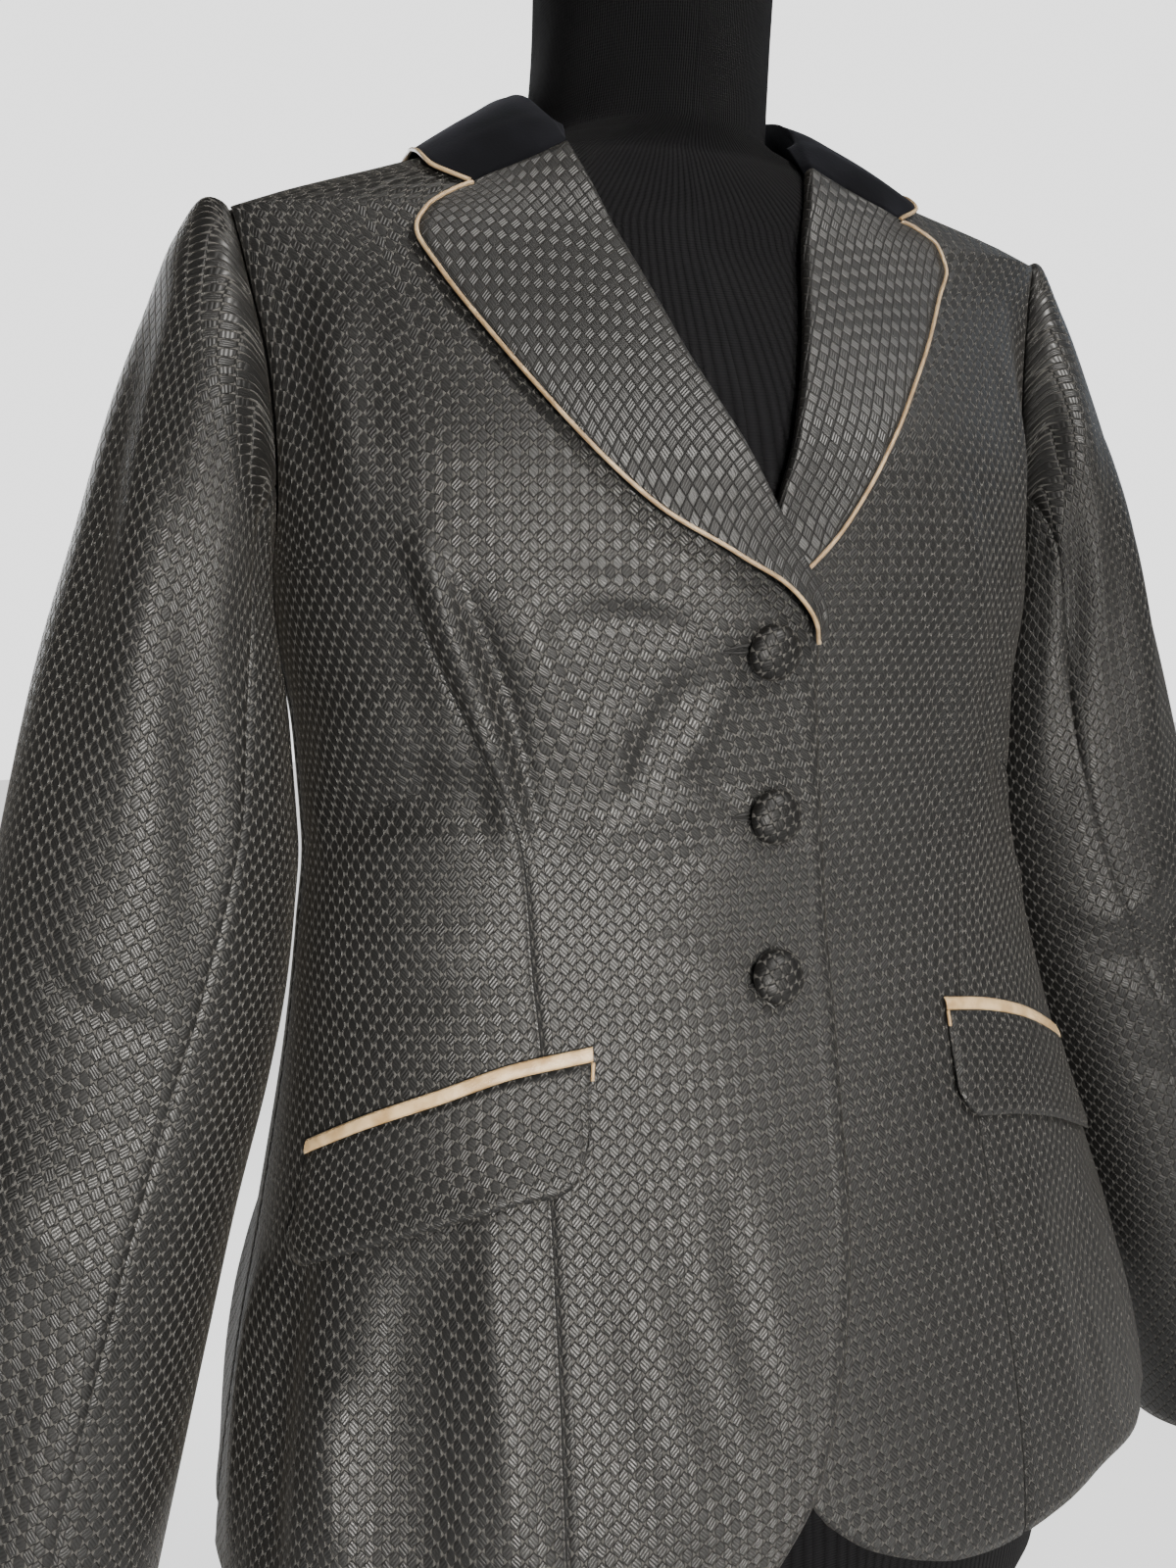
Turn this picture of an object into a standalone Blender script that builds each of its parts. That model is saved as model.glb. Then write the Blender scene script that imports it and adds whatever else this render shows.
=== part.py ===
"""Hunt coat on a limbless dress form, built as cut and sewn cloth walls.

Metres, +Z up. The coat faces -Y, the wearer's right is -X, and the stand's
underside is at Z = 0. The torso is one smooth surface read from a table of
level sections. A place on it is an angle (0 at centre front, positive towards
the wearer's left, 90 at the side seam, 180 at centre back) and a height.
"""

import math

import bmesh
import bpy
import numpy as np

# Cloth and seams
WALL = 0.0018
SEAM = 0.0003
LAY_GAP = 0.0009
OVERLAP_LIFT = 0.0028
LAPEL_STEP = 0.0046
# Where the right front rises over the left one, and over the left lapel's end: from, to
OVERLAP_X = (-0.090, -0.023)
LAPEL_STEP_X = (-0.060, -0.010)
LAPEL_STEP_START = (1.150, 1.188)
LAPEL_STEP_END = (1.232, 1.290)

# Level sections of the coat's torso, from hem to neck
# height, half_width, centre_y, front_depth, back_depth, front_square, back_square
SECTIONS = (
    (0.735, 0.2470, 0.000, 0.1630, 0.168, 2.25, 2.2),
    (0.800, 0.2390, 0.000, 0.1580, 0.160, 2.25, 2.2),
    (0.870, 0.2260, 0.000, 0.1460, 0.148, 2.25, 2.2),
    (0.940, 0.2095, 0.000, 0.1295, 0.132, 2.30, 2.2),
    (1.010, 0.1945, 0.000, 0.1115, 0.112, 2.35, 2.2),
    (1.060, 0.1865, 0.000, 0.1030, 0.101, 2.35, 2.2),
    (1.100, 0.1815, 0.000, 0.1020, 0.098, 2.40, 2.2),
    (1.150, 0.1825, 0.000, 0.1065, 0.107, 2.45, 2.2),
    (1.200, 0.1895, 0.000, 0.1125, 0.116, 2.50, 2.2),
    (1.250, 0.1920, -0.006, 0.1050, 0.122, 2.45, 2.2),
    (1.300, 0.1950, -0.018, 0.0780, 0.130, 2.30, 2.2),
    (1.342, 0.1990, -0.030, 0.0460, 0.126, 2.10, 2.1),
    (1.364, 0.2000, -0.036, 0.0310, 0.118, 2.00, 2.0),
    (1.368, 0.1895, -0.036, 0.0300, 0.115, 2.00, 2.0),
    (1.389, 0.1350, -0.023, 0.0390, 0.100, 2.00, 2.0),
    (1.412, 0.0750, -0.008, 0.0480, 0.078, 2.00, 2.0),
)

# Armhole: an oval round the side seam's top, as heights and angles
ARMHOLE_HEIGHT = 1.2895
ARMHOLE_RISE = 0.0745
ARMHOLE_FRONT = 15.0
ARMHOLE_BACK = 27.0
ARMHOLE_STEPS = 9

# Heights where the torso panels have a row of points
SKIRT_ROWS = (0.785, 0.795, 0.810, 0.830, 0.860, 0.900, 0.940, 0.980, 1.010,
              1.045, 1.080, 1.115, 1.150, 1.180, 1.200)
SHOULDER_ROWS = (1.374, 1.386, 1.398, 1.409)
HEM = SKIRT_ROWS[0]
HEM_REACH = 0.950
ROW_NEAR = 0.001
# Columns of each panel: front ahead of and behind the dart, side back, back
COLUMNS_AHEAD = 6
COLUMNS_BEHIND = 5
COLUMNS_SIDE_BACK = 4
COLUMNS_BACK = 6

# Front edges below the lapels: height, x
RIGHT_EDGE = (
    (0.811, -0.0340), (0.832, -0.0163), (0.859, -0.0033), (0.894, 0.0087),
    (0.930, 0.0163), (0.968, 0.0207), (1.028, 0.0261), (1.092, 0.0275),
    (1.140, 0.0255), (1.170, 0.0230),
)
LEFT_EDGE = (
    (0.819, -0.0115), (0.829, -0.0180), (0.850, -0.0220), (0.950, -0.0225),
    (1.150, -0.0225), (1.180, -0.0205),
)

# Where the front meets the neck and shoulder: height, x from the middle
NECK_POINT = (1.4120, 0.0655)

# Hem height against x, from the cutaway corner to the side seam
RIGHT_HEM = (
    (-0.240, 0.7800), (-0.155, 0.7830), (-0.120, 0.7850), (-0.095, 0.7870),
    (-0.075, 0.7895), (-0.058, 0.7950), (-0.045, 0.8025), (-0.034, 0.8110),
)
LEFT_HEM = (
    (-0.0115, 0.8190), (0.001, 0.8080), (0.018, 0.7990), (0.032, 0.7935),
    (0.050, 0.7885), (0.073, 0.7865), (0.115, 0.7890), (0.155, 0.7940),
    (0.240, 0.7970),
)
BACK_HEM_DROP = 0.004

# Long front dart, apex to hem, carried on to the shoulder as a guide: height, angle
RIGHT_DART = (
    (0.785, 27.0), (0.894, 27.8), (1.010, 28.8), (1.040, 29.7), (1.100, 31.6),
    (1.131, 35.9), (1.164, 41.0), (1.195, 44.5), (1.223, 46.5), (1.290, 45.0),
    (1.330, 47.0), (1.364, 54.0), (1.389, 62.0), (1.412, 70.0),
)
LEFT_DART = (
    (0.785, 18.5), (0.833, 20.5), (0.893, 22.5), (0.954, 24.5), (1.014, 27.0),
    (1.040, 29.7), (1.084, 34.0), (1.123, 39.5), (1.164, 43.0), (1.223, 46.5),
    (1.290, 45.0), (1.330, 47.0), (1.360, 54.0), (1.385, 62.0), (1.408, 70.0),
)
DART_TOP = 1.215
DART_FADE = 0.035
DART_HALF_WIDTH = 1.3
DART_DEPTH = 0.0008

# Back princess seam: height, angle, half of the vent's opening in degrees.
# It keeps a small angle behind the armhole's edge.
BACK_SEAM = (
    (0.785, 128.0, 0.80), (0.900, 128.0, 0.35), (0.940, 128.0, 0.00),
    (1.100, 126.5, 0.00), (1.200, 125.0, 0.00), (1.250, 121.0, 0.00),
    (1.2749, 116.9, 0.00),
)
LEAST_SEAM_ANGLE = 0.25

# Soft folds of the torso: angle, height, half_angle, half_height, rise
FOLDS = (
    (-41.0, 1.165, 8.0, 0.085, 0.0030),
    (-27.0, 1.110, 9.0, 0.060, -0.0025),
    (-60.0, 0.850, 11.0, 0.120, 0.0060),
    (-36.0, 0.820, 8.0, 0.100, 0.0035),
    (44.0, 0.840, 12.0, 0.110, 0.0050),
    (72.0, 0.860, 11.0, 0.120, 0.0045),
    (108.0, 0.850, 10.0, 0.120, 0.0055),
    (150.0, 0.840, 12.0, 0.130, 0.0050),
    (-108.0, 0.850, 10.0, 0.120, 0.0050),
    (-152.0, 0.840, 12.0, 0.130, 0.0055),
    (140.0, 1.115, 16.0, 0.030, -0.0030),
    (-138.0, 1.110, 16.0, 0.032, -0.0030),
)

# Lapels: where the roll line and the outer edge lie on the front, break to gorge
# roll_x, roll_z, edge_x, edge_z
RIGHT_LAPEL = (
    (0.0222, 1.1800, 0.0205, 1.1765),
    (0.0200, 1.1890, 0.0150, 1.1868),
    (0.0135, 1.2020, 0.0022, 1.1988),
    (0.0033, 1.2213, -0.0175, 1.2110),
    (-0.0045, 1.2385, -0.0445, 1.2286),
    (-0.0121, 1.2558, -0.0675, 1.2498),
    (-0.0200, 1.2740, -0.0878, 1.2754),
    (-0.0290, 1.2970, -0.1065, 1.3049),
    (-0.0370, 1.3230, -0.1200, 1.3300),
    (-0.0430, 1.3430, -0.1278, 1.3489),
    (-0.0480, 1.3580, -0.1226, 1.3594),
    (-0.0540, 1.3750, -0.1128, 1.3664),
    (-0.0599, 1.3918, -0.1023, 1.3725),
)
LEFT_LAPEL = (
    (-0.0065, 1.2030, 0.0035, 1.1955),
    (-0.0010, 1.2120, 0.0101, 1.2015),
    (0.0052, 1.2221, 0.0205, 1.2100),
    (0.0120, 1.2400, 0.0314, 1.2200),
    (0.0185, 1.2560, 0.0470, 1.2385),
    (0.0240, 1.2720, 0.0640, 1.2610),
    (0.0300, 1.2890, 0.0841, 1.2879),
    (0.0360, 1.3080, 0.1000, 1.3100),
    (0.0425, 1.3280, 0.1150, 1.3330),
    (0.0475, 1.3450, 0.1244, 1.3494),
    (0.0515, 1.3590, 0.1225, 1.3605),
    (0.0560, 1.3750, 0.1140, 1.3675),
    (0.0610, 1.3920, 0.1040, 1.3725),
)
# Cross profile of a lapel: share of its width, lift of its top, lift of its underside
LAPEL_PROFILE = (
    (0.00, -0.0012, -0.0012),
    (0.00, 0.0012, 0.0005),
    (0.03, 0.0038, 0.0017),
    (0.12, 0.0036, 0.0017),
    (0.32, 0.0029, 0.0011),
    (0.55, 0.0026, 0.0009),
    (0.80, 0.0026, 0.0009),
    (1.00, 0.0026, 0.0009),
)
ROLL_OUT_TOP = 0.0024
ROLL_OUT_UNDER = 0.0007

# Collar, from centre back to the last row before the gorge, for the wearer's left
# base_angle, base_z, crease_x, crease_y, crease_z, edge_angle, edge_z
COLLAR = (
    (180.0, 1.4102, 0.0000, 0.0738, 1.4490, 180.0, 1.3900),
    (160.0, 1.4102, 0.0240, 0.0690, 1.4485, 161.0, 1.3905),
    (140.0, 1.4102, 0.0440, 0.0540, 1.4470, 143.0, 1.3915),
    (118.0, 1.4102, 0.0590, 0.0310, 1.4440, 123.0, 1.3930),
    (97.0, 1.4102, 0.0655, 0.0040, 1.4390, 105.0, 1.3945),
    (76.0, 1.4102, 0.0650, -0.0190, 1.4310, 86.0, 1.3955),
    (57.0, 1.4102, 0.0640, -0.0370, 1.4190, 61.0, 1.3885),
    (41.0, 1.4082, 0.0620, -0.0490, 1.4085, 48.0, 1.3800),
)
COLLAR_STEP = 0.5
COLLAR_END_SHIFT = 0.00075
STAND_SHARE = 0.8
FALL_BULGE = 0.0020
COLLAR_LIFT = 0.0038
CREASE_HALF = 0.0024

# Sleeve rings, armhole to cuff, for the wearer's left
# outer_x, outer_z, inner_x, inner_z, centre_y, half_depth, twist
SLEEVE = (
    (0.2003, 1.3643, 0.1906, 1.2150, -0.008, 0.044, 0.0),
    (0.2085, 1.3692, 0.1920, 1.2040, -0.007, 0.050, 0.0),
    (0.2205, 1.3560, 0.1912, 1.1900, -0.005, 0.054, 0.0),
    (0.2340, 1.3270, 0.1890, 1.1730, -0.003, 0.057, 0.0),
    (0.2500, 1.2890, 0.1866, 1.1520, -0.001, 0.059, 0.0),
    (0.2675, 1.2380, 0.1858, 1.1300, 0.001, 0.060, 0.0),
    (0.2860, 1.1850, 0.1852, 1.1000, 0.002, 0.060, 1.0),
    (0.3015, 1.1290, 0.1885, 1.0700, 0.002, 0.059, 3.0),
    (0.3150, 1.0740, 0.1945, 1.0350, 0.001, 0.058, 7.0),
    (0.3270, 1.0180, 0.2055, 0.9930, 0.000, 0.057, 12.0),
    (0.3375, 0.9610, 0.2225, 0.9410, -0.002, 0.055, 17.0),
    (0.3470, 0.9020, 0.2395, 0.8820, -0.004, 0.053, 22.0),
    (0.3550, 0.8430, 0.2560, 0.8240, -0.006, 0.051, 27.0),
    (0.3615, 0.7860, 0.2715, 0.7690, -0.008, 0.050, 30.0),
    (0.3665, 0.7370, 0.2835, 0.7220, -0.010, 0.049, 32.0),
)
CAP_FADE = 3.0
FRONT_SEAM_STEP = 6
BACK_SEAM_STEP = 12
RING_STEPS = 2 * ARMHOLE_STEPS
# Soft folds of both sleeves: ring, angle, half_rings, half_angle, rise
SLEEVE_FOLDS = (
    (5.0, 70.0, 3.0, 26.0, 0.0040),
    (4.5, 112.0, 2.5, 24.0, -0.0040),
    (9.0, 80.0, 0.9, 60.0, -0.0050),
    (10.2, 60.0, 0.9, 50.0, 0.0030),
    (8.0, 250.0, 1.2, 40.0, 0.0030),
)

# Pockets: top line of the welt as angle and height, front end to back end
RIGHT_POCKET = (
    (22.0, 1.0137), (32.3, 1.0094), (44.3, 0.9997), (56.6, 0.9896), (71.6, 0.9747),
)
LEFT_POCKET = (
    (22.6, 1.0129), (30.0, 1.0091), (40.9, 1.0003), (54.2, 0.9855), (68.0, 0.9710),
)
WELT_HEIGHT = 0.0060
WELT_WALL = 0.0014
FLAP_DEPTH_RIGHT = 0.0550
FLAP_DEPTH_LEFT = 0.0520
FLAP_LEAN_RIGHT = 1.5
FLAP_LEAN_LEFT = -1.4
FLAP_CORNER = 0.11
FLAP_CORNER_RISE = 0.30
FLAP_STEPS = 12

# Buttons and piping
BUTTON_HEIGHTS = (("button_top", 1.1720), ("button_middle", 1.1015), ("button_bottom", 1.0310))
# radius, height above the front
BUTTON_PROFILE = (
    (0.0, 0.0072), (0.0060, 0.0066), (0.0095, 0.0050), (0.0110, 0.0032),
    (0.0104, 0.0020), (0.0046, 0.0014), (0.0046, 0.0008), (0.0, 0.0008),
)
BUTTON_SIDES = 16
PIPING_RADIUS = 0.0011
PIPING_OUT = 0.0015
PIPING_SIDES_PER_QUARTER = 1
NOTCH_SHARE = 0.30

# Dress form and stand
# height, distance inside the coat's outer surface
FORM_EASE = (
    (0.700, 0.060), (0.785, 0.040), (0.900, 0.026), (1.000, 0.012), (1.100, 0.007),
    (1.250, 0.007), (1.340, 0.0062), (1.356, 0.0060), (1.364, 0.0046),
    (1.374, 0.0038), (1.390, 0.0036), (1.402, 0.0042),
)
# height, half_width, centre_y, half_depth
FORM_NECK = (
    (1.411, 0.0610, 0.000, 0.0620), (1.422, 0.0585, -0.006, 0.0590),
    (1.436, 0.0570, -0.012, 0.0575), (1.465, 0.0560, -0.021, 0.0560), (1.530, 0.0560, -0.036, 0.0560),
)
FORM_SHOULDER = 1.356
FORM_ROWS = (0.700, 0.702, 0.740, 0.785, 0.830, 0.880, 0.930, 0.980, 1.030, 1.080, 1.130,
             1.180, 1.230, 1.270, 1.305, 1.335, FORM_SHOULDER, 1.364, 1.374, 1.386, 1.396, 1.402)
FORM_BOTTOM = FORM_ROWS[0]
FORM_COLUMNS = 32
FORM_EDGE_ROUND = 0.012
BASE_HEIGHT = 0.0180
# Turned parts, top to bottom: radius, height. The cap's heights start at the neck's top.
CAP_PROFILE = (
    (0.0, 0.0300), (0.0080, 0.0290), (0.0120, 0.0220), (0.0100, 0.0120), (0.0140, 0.0080),
    (0.0480, 0.0070), (0.0480, SEAM), (0.0, SEAM),
)
POLE_PROFILE = (
    (0.0, FORM_BOTTOM - SEAM), (0.0150, FORM_BOTTOM - SEAM),
    (0.0150, BASE_HEIGHT + SEAM), (0.0, BASE_HEIGHT + SEAM),
)
BASE_PROFILE = (
    (0.0, BASE_HEIGHT), (0.1650, BASE_HEIGHT), (0.1730, 0.0130),
    (0.1750, 0.0080), (0.1750, 0.0), (0.0, 0.0),
)
CAP_SIDES = 32
POLE_SIDES = 24
BASE_SIDES = 48

SHARP_ANGLE = math.radians(50.0)
COLLECTION = "hunt_coat_on_dress_form"
RIGHT = -1
LEFT = 1

MATERIALS = {
    "jacquard": ((0.016, 0.016, 0.018), 0.50, 0.0),
    "velvet": ((0.006, 0.006, 0.010), 0.95, 0.0),
    "satin": ((0.420, 0.330, 0.240), 0.35, 0.0),
    "knit": ((0.010, 0.010, 0.012), 0.90, 0.0),
    "black_metal": ((0.020, 0.020, 0.022), 0.40, 0.8),
    "black_wood": ((0.018, 0.016, 0.015), 0.45, 0.0),
}


def smooth(table, at):
    """Monotone cubic through a table's rows, keyed by the first column."""
    rows = np.array(table, float)
    key, value = rows[:, 0], rows[:, 1:]
    at = np.clip(np.asarray(at, float), key[0], key[-1])
    step = np.diff(key)
    slope = np.diff(value, axis=0) / step[:, None]
    tangent = np.zeros_like(value)
    tangent[0], tangent[-1] = slope[0], slope[-1]
    for i in range(1, len(key) - 1):
        before, after = slope[i - 1], slope[i]
        turns = before * after <= 0
        weight_before = 2 * step[i] + step[i - 1]
        weight_after = step[i] + 2 * step[i - 1]
        safe_before = np.where(turns, 1.0, before)
        safe_after = np.where(turns, 1.0, after)
        mean = (weight_before + weight_after) / (weight_before / safe_before + weight_after / safe_after)
        tangent[i] = np.where(turns, 0.0, mean)
    i = np.clip(np.searchsorted(key, at, side="right") - 1, 0, len(key) - 2)
    s = ((at - key[i]) / step[i])[..., None]
    span = step[i][..., None]
    return ((1 + 2 * s) * (1 - s) ** 2 * value[i] + s * (1 - s) ** 2 * span * tangent[i]
            + s * s * (3 - 2 * s) * value[i + 1] + s * s * (s - 1) * span * tangent[i + 1])


def ramp(value, low, high):
    """0 below low, 1 above high, with a smooth rise between."""
    s = np.clip((value - low) / (high - low), 0.0, 1.0)
    return s * s * (3 - 2 * s)


def bell(distance):
    """1 at the middle of a fold, 0 from its edge outwards."""
    return np.where(np.abs(distance) < 1.0, 0.5 + 0.5 * np.cos(np.pi * np.clip(distance, -1, 1)), 0.0)


def unit(vectors):
    return vectors / np.maximum(np.linalg.norm(vectors, axis=-1, keepdims=True), 1e-12)


def body(angle, height):
    """Point of the coat's torso surface, without folds."""
    angle, height = np.broadcast_arrays(np.asarray(angle, float), np.asarray(height, float))
    half_width, centre, front, back, front_square, back_square = np.moveaxis(smooth(SECTIONS, height), -1, 0)
    sine, cosine = np.sin(np.radians(angle)), np.cos(np.radians(angle))
    square = np.where(cosine >= 0, front_square, back_square)
    depth = np.where(cosine >= 0, front, back)
    x = half_width * np.sign(sine) * np.abs(sine) ** (2 / square)
    y = centre - depth * np.sign(cosine) * np.abs(cosine) ** (2 / square)
    return np.stack([x, y, height], -1)


def outward(angle, height):
    """Unit normal of the torso surface."""
    turn, rise = 0.05, 0.0001
    along = body(angle + turn, height) - body(angle - turn, height)
    up = body(angle, height + rise) - body(angle, height - rise)
    return unit(np.cross(along, up))


def fold_rise(angle, height):
    rise = np.zeros(np.broadcast(angle, height).shape)
    for middle, level, half_angle, half_height, amount in FOLDS:
        rise = rise + amount * bell((angle - middle) / half_angle) * bell((height - level) / half_height)
    return rise


def on_coat(angle, height, lift):
    """Point at a distance outside the coat's torso surface, folds included."""
    angle, height = np.asarray(angle, float), np.asarray(height, float)
    offset = lift + fold_rise(angle, height)
    return body(angle, height) + outward(angle, height) * np.asarray(offset)[..., None]


def front_angle(x, height):
    """Angle of the front point that lies at x."""
    section = smooth(SECTIONS, height)
    share = np.clip(np.abs(x) / section[..., 0], 0.0, 1.0)
    return np.sign(x) * np.degrees(np.arcsin(share ** (section[..., 4] / 2)))


def right_front_lift(angle, height):
    """How far the right front stands out where it laps over the left front and lapel."""
    x = body(angle, height)[..., 0]
    beside_lapel = ramp(x, *LAPEL_STEP_X)
    over_lapel_end = ramp(height, *LAPEL_STEP_START) * (1.0 - ramp(height, *LAPEL_STEP_END))
    return OVERLAP_LIFT * ramp(x, *OVERLAP_X) + LAPEL_STEP * beside_lapel * over_lapel_end


def on_front(side, x, height, lift):
    angle = front_angle(x, height)
    extra = right_front_lift(angle, height) if side == RIGHT else 0.0
    return on_coat(angle, height, lift + extra)


def armhole_share(height):
    """How far the armhole's edge stands from the side at a height, 1 at the most."""
    share = np.clip((height - ARMHOLE_HEIGHT) / ARMHOLE_RISE, -1.0, 1.0)
    return np.sqrt(1.0 - share ** 2)


def armhole_rows():
    turns = np.arange(ARMHOLE_STEPS + 1) / ARMHOLE_STEPS
    return ARMHOLE_HEIGHT - ARMHOLE_RISE * np.cos(np.pi * turns)


def above_hem(rows, hem):
    """Row heights with the part below HEM_REACH stretched down or up to a hem."""
    share = (HEM_REACH - hem) / (HEM_REACH - HEM)
    return np.where(rows < HEM_REACH, HEM_REACH - (HEM_REACH - rows) * share, rows)


def new_material(name, kind):
    colour, roughness, metallic = MATERIALS[kind]
    material = bpy.data.materials.new(name + "_" + kind)
    material.use_nodes = True
    shader = material.node_tree.nodes["Principled BSDF"]
    shader.inputs["Base Color"].default_value = (*colour, 1.0)
    shader.inputs["Roughness"].default_value = roughness
    shader.inputs["Metallic"].default_value = metallic
    material.diffuse_color = (*colour, 1.0)
    return material


def add_object(name, data, material, collection):
    obj = bpy.data.objects.new(name, data)
    collection.objects.link(obj)
    data.materials.append(new_material(name, material))
    return obj


def mesh_object(name, mesh_builder, material, collection):
    mesh = bpy.data.meshes.new(name)
    bmesh.ops.recalc_face_normals(mesh_builder, faces=mesh_builder.faces)
    if mesh_builder.calc_volume(signed=True) < 0:
        bmesh.ops.reverse_faces(mesh_builder, faces=mesh_builder.faces)
    mesh_builder.to_mesh(mesh)
    mesh_builder.free()
    mesh.shade_smooth()
    mesh.set_sharp_from_angle(angle=SHARP_ANGLE)
    return add_object(name, mesh, material, collection)


def slab(name, top, under, material, collection):
    """Cloth wall between two point grids of the same shape (columns, rows, xyz)."""
    columns, rows = top.shape[0] - 1, top.shape[1] - 1
    builder = bmesh.new()
    grid = bmesh.ops.create_grid(builder, x_segments=columns, y_segments=rows, size=0.5)
    places = {}
    for vert in grid["verts"]:
        place = (round((vert.co.x + 0.5) * columns), round((vert.co.y + 0.5) * rows))
        places[vert] = place
    result = bmesh.ops.extrude_face_region(builder, geom=builder.faces[:], use_keep_orig=True)
    raised = [item for item in result["geom"] if isinstance(item, bmesh.types.BMVert)]
    for vert in raised:
        column = round((vert.co.x + 0.5) * columns)
        row = round((vert.co.y + 0.5) * rows)
        vert.co = top[column, row]
    for vert, (column, row) in places.items():
        vert.co = under[column, row]
    return mesh_object(name, builder, material, collection)


def trim(top, under):
    """Draws a wall's first and last column in along the cloth, to leave the seam gap."""
    top, under = top.copy(), under.copy()
    for edge, inside in ((0, 1), (-1, -2)):
        shift = unit(top[inside] - top[edge]) * SEAM / 2
        top[edge] += shift
        under[edge] += shift
    return top, under


def edge_table(side):
    """Front edge and roll line of one front, as height and x."""
    lower = RIGHT_EDGE if side == RIGHT else LEFT_EDGE
    lapel = RIGHT_LAPEL if side == RIGHT else LEFT_LAPEL
    roll = tuple((roll_z, roll_x) for roll_x, roll_z, _, _ in lapel)
    neck = ((NECK_POINT[0], side * NECK_POINT[1]),)
    return lower + roll + neck


def front_panel(side, collection):
    """One front, centre edge to side seam, armhole and shoulder, with its long dart."""
    rows = np.concatenate([SKIRT_ROWS, armhole_rows(), SHOULDER_ROWS])
    edge, dart = edge_table(side), RIGHT_DART if side == RIGHT else LEFT_DART
    hem_table = RIGHT_HEM if side == RIGHT else LEFT_HEM
    ahead, behind = np.linspace(0, 1, COLUMNS_AHEAD + 1), np.linspace(0, 1, COLUMNS_BEHIND + 1)

    def column_angles(height):
        start = front_angle(smooth(edge, height)[..., 0], height)
        middle = side * smooth(dart, height)[..., 0]
        end = side * (90.0 - ARMHOLE_FRONT * armhole_share(height))
        near, far = middle - side * DART_HALF_WIDTH, middle + side * DART_HALF_WIDTH
        first = [start + (near - start) * share for share in ahead]
        last = [far + (end - far) * share for share in behind]
        return first + [middle] + last

    dart_column = len(ahead)
    top, under = [], []
    for column, start_angle in enumerate(column_angles(HEM)):
        hem = smooth(hem_table, body(start_angle, HEM)[0])[0]
        heights = above_hem(rows, hem)
        angles = np.array([column_angles(height)[column] for height in heights])
        lift = right_front_lift(angles, heights) if side == RIGHT else np.zeros(len(rows))
        groove = np.zeros(len(rows))
        if column == dart_column:
            groove = DART_DEPTH * ramp(-heights, -DART_TOP, -DART_TOP + DART_FADE)
        top.append(on_coat(angles, heights, lift - groove))
        under.append(on_coat(angles, heights, lift - WALL))
    top, under = trim(np.array(top), np.array(under))
    name = "front_right" if side == RIGHT else "front_left"
    return slab(name, top, under, "jacquard", collection)


def back_hem(angle):
    return LEFT_HEM[-1][1] - BACK_HEM_DROP * ramp(np.abs(angle), 90.0, 180.0)


def torso_panel(name, side, rows, start, end, columns, collection):
    """A back or side back between two seam lines, given as functions of height."""
    top, under = [], []
    for share in np.linspace(0, 1, columns + 1):
        hem_angle = start(HEM) + (end(HEM) - start(HEM)) * share
        heights = above_hem(rows, back_hem(hem_angle))
        angles = side * np.array([start(h) + (end(h) - start(h)) * share for h in heights])
        top.append(on_coat(angles, heights, 0.0))
        under.append(on_coat(angles, heights, -WALL))
    top, under = trim(np.array(top), np.array(under))
    return slab(name, top, under, "jacquard", collection)


def back_panels(side, word, collection):
    seam_top = BACK_SEAM[-1][0]
    side_rows = np.concatenate([SKIRT_ROWS, [h for h in armhole_rows() if h < seam_top + ROW_NEAR]])
    back_rows = np.concatenate([SKIRT_ROWS, armhole_rows(), SHOULDER_ROWS])

    def side_seam(height):
        return 90.0 + ARMHOLE_BACK * armhole_share(height)

    def seam_on_side(height):
        angle, vent = smooth(BACK_SEAM, height)
        return max(angle - vent, side_seam(height) + LEAST_SEAM_ANGLE)

    def seam_on_back(height):
        angle, vent = smooth(BACK_SEAM, height)
        return angle + vent if height < seam_top + ROW_NEAR else side_seam(height)

    torso_panel("side_back_" + word, side, side_rows, side_seam, seam_on_side, COLUMNS_SIDE_BACK, collection)
    torso_panel("back_" + word, side, back_rows, seam_on_back, lambda height: 180.0, COLUMNS_BACK, collection)


def sleeve_surface(side, ring, angle):
    """Point of a sleeve at a ring number and an angle: 0 outside, 90 front, 180 inside."""
    table = tuple((number, *row) for number, row in enumerate(SLEEVE))
    outer_x, outer_z, inner_x, inner_z, centre_y, half_depth, twist = np.moveaxis(smooth(table, ring), -1, 0)
    turned = np.radians(angle - twist)
    across, ahead = np.cos(turned), np.sin(turned)
    x = (outer_x + inner_x) / 2 + (outer_x - inner_x) / 2 * across
    z = (outer_z + inner_z) / 2 + (outer_z - inner_z) / 2 * across
    y = centre_y - half_depth * ahead
    point = np.stack([x, y, z], -1)
    cap = np.radians(angle)
    hole_height = ARMHOLE_HEIGHT + ARMHOLE_RISE * np.cos(cap)
    spread = np.where(np.sin(cap) > 0, ARMHOLE_FRONT, ARMHOLE_BACK)
    hole = on_coat(90.0 - spread * np.sin(cap), hole_height, SEAM) + np.array([SEAM, 0.0, 0.0])
    fade = 1.0 - ramp(ring, 0.0, CAP_FADE)
    outer_x, outer_z, inner_x, inner_z, centre_y, half_depth, _ = SLEEVE[0]
    plain = np.stack([
        (outer_x + inner_x) / 2 + (outer_x - inner_x) / 2 * np.cos(cap),
        centre_y - half_depth * np.sin(cap),
        (outer_z + inner_z) / 2 + (outer_z - inner_z) / 2 * np.cos(cap),
    ], -1)
    point = point + (hole - plain) * fade[..., None]
    return point * np.array([side, 1.0, 1.0])


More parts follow.
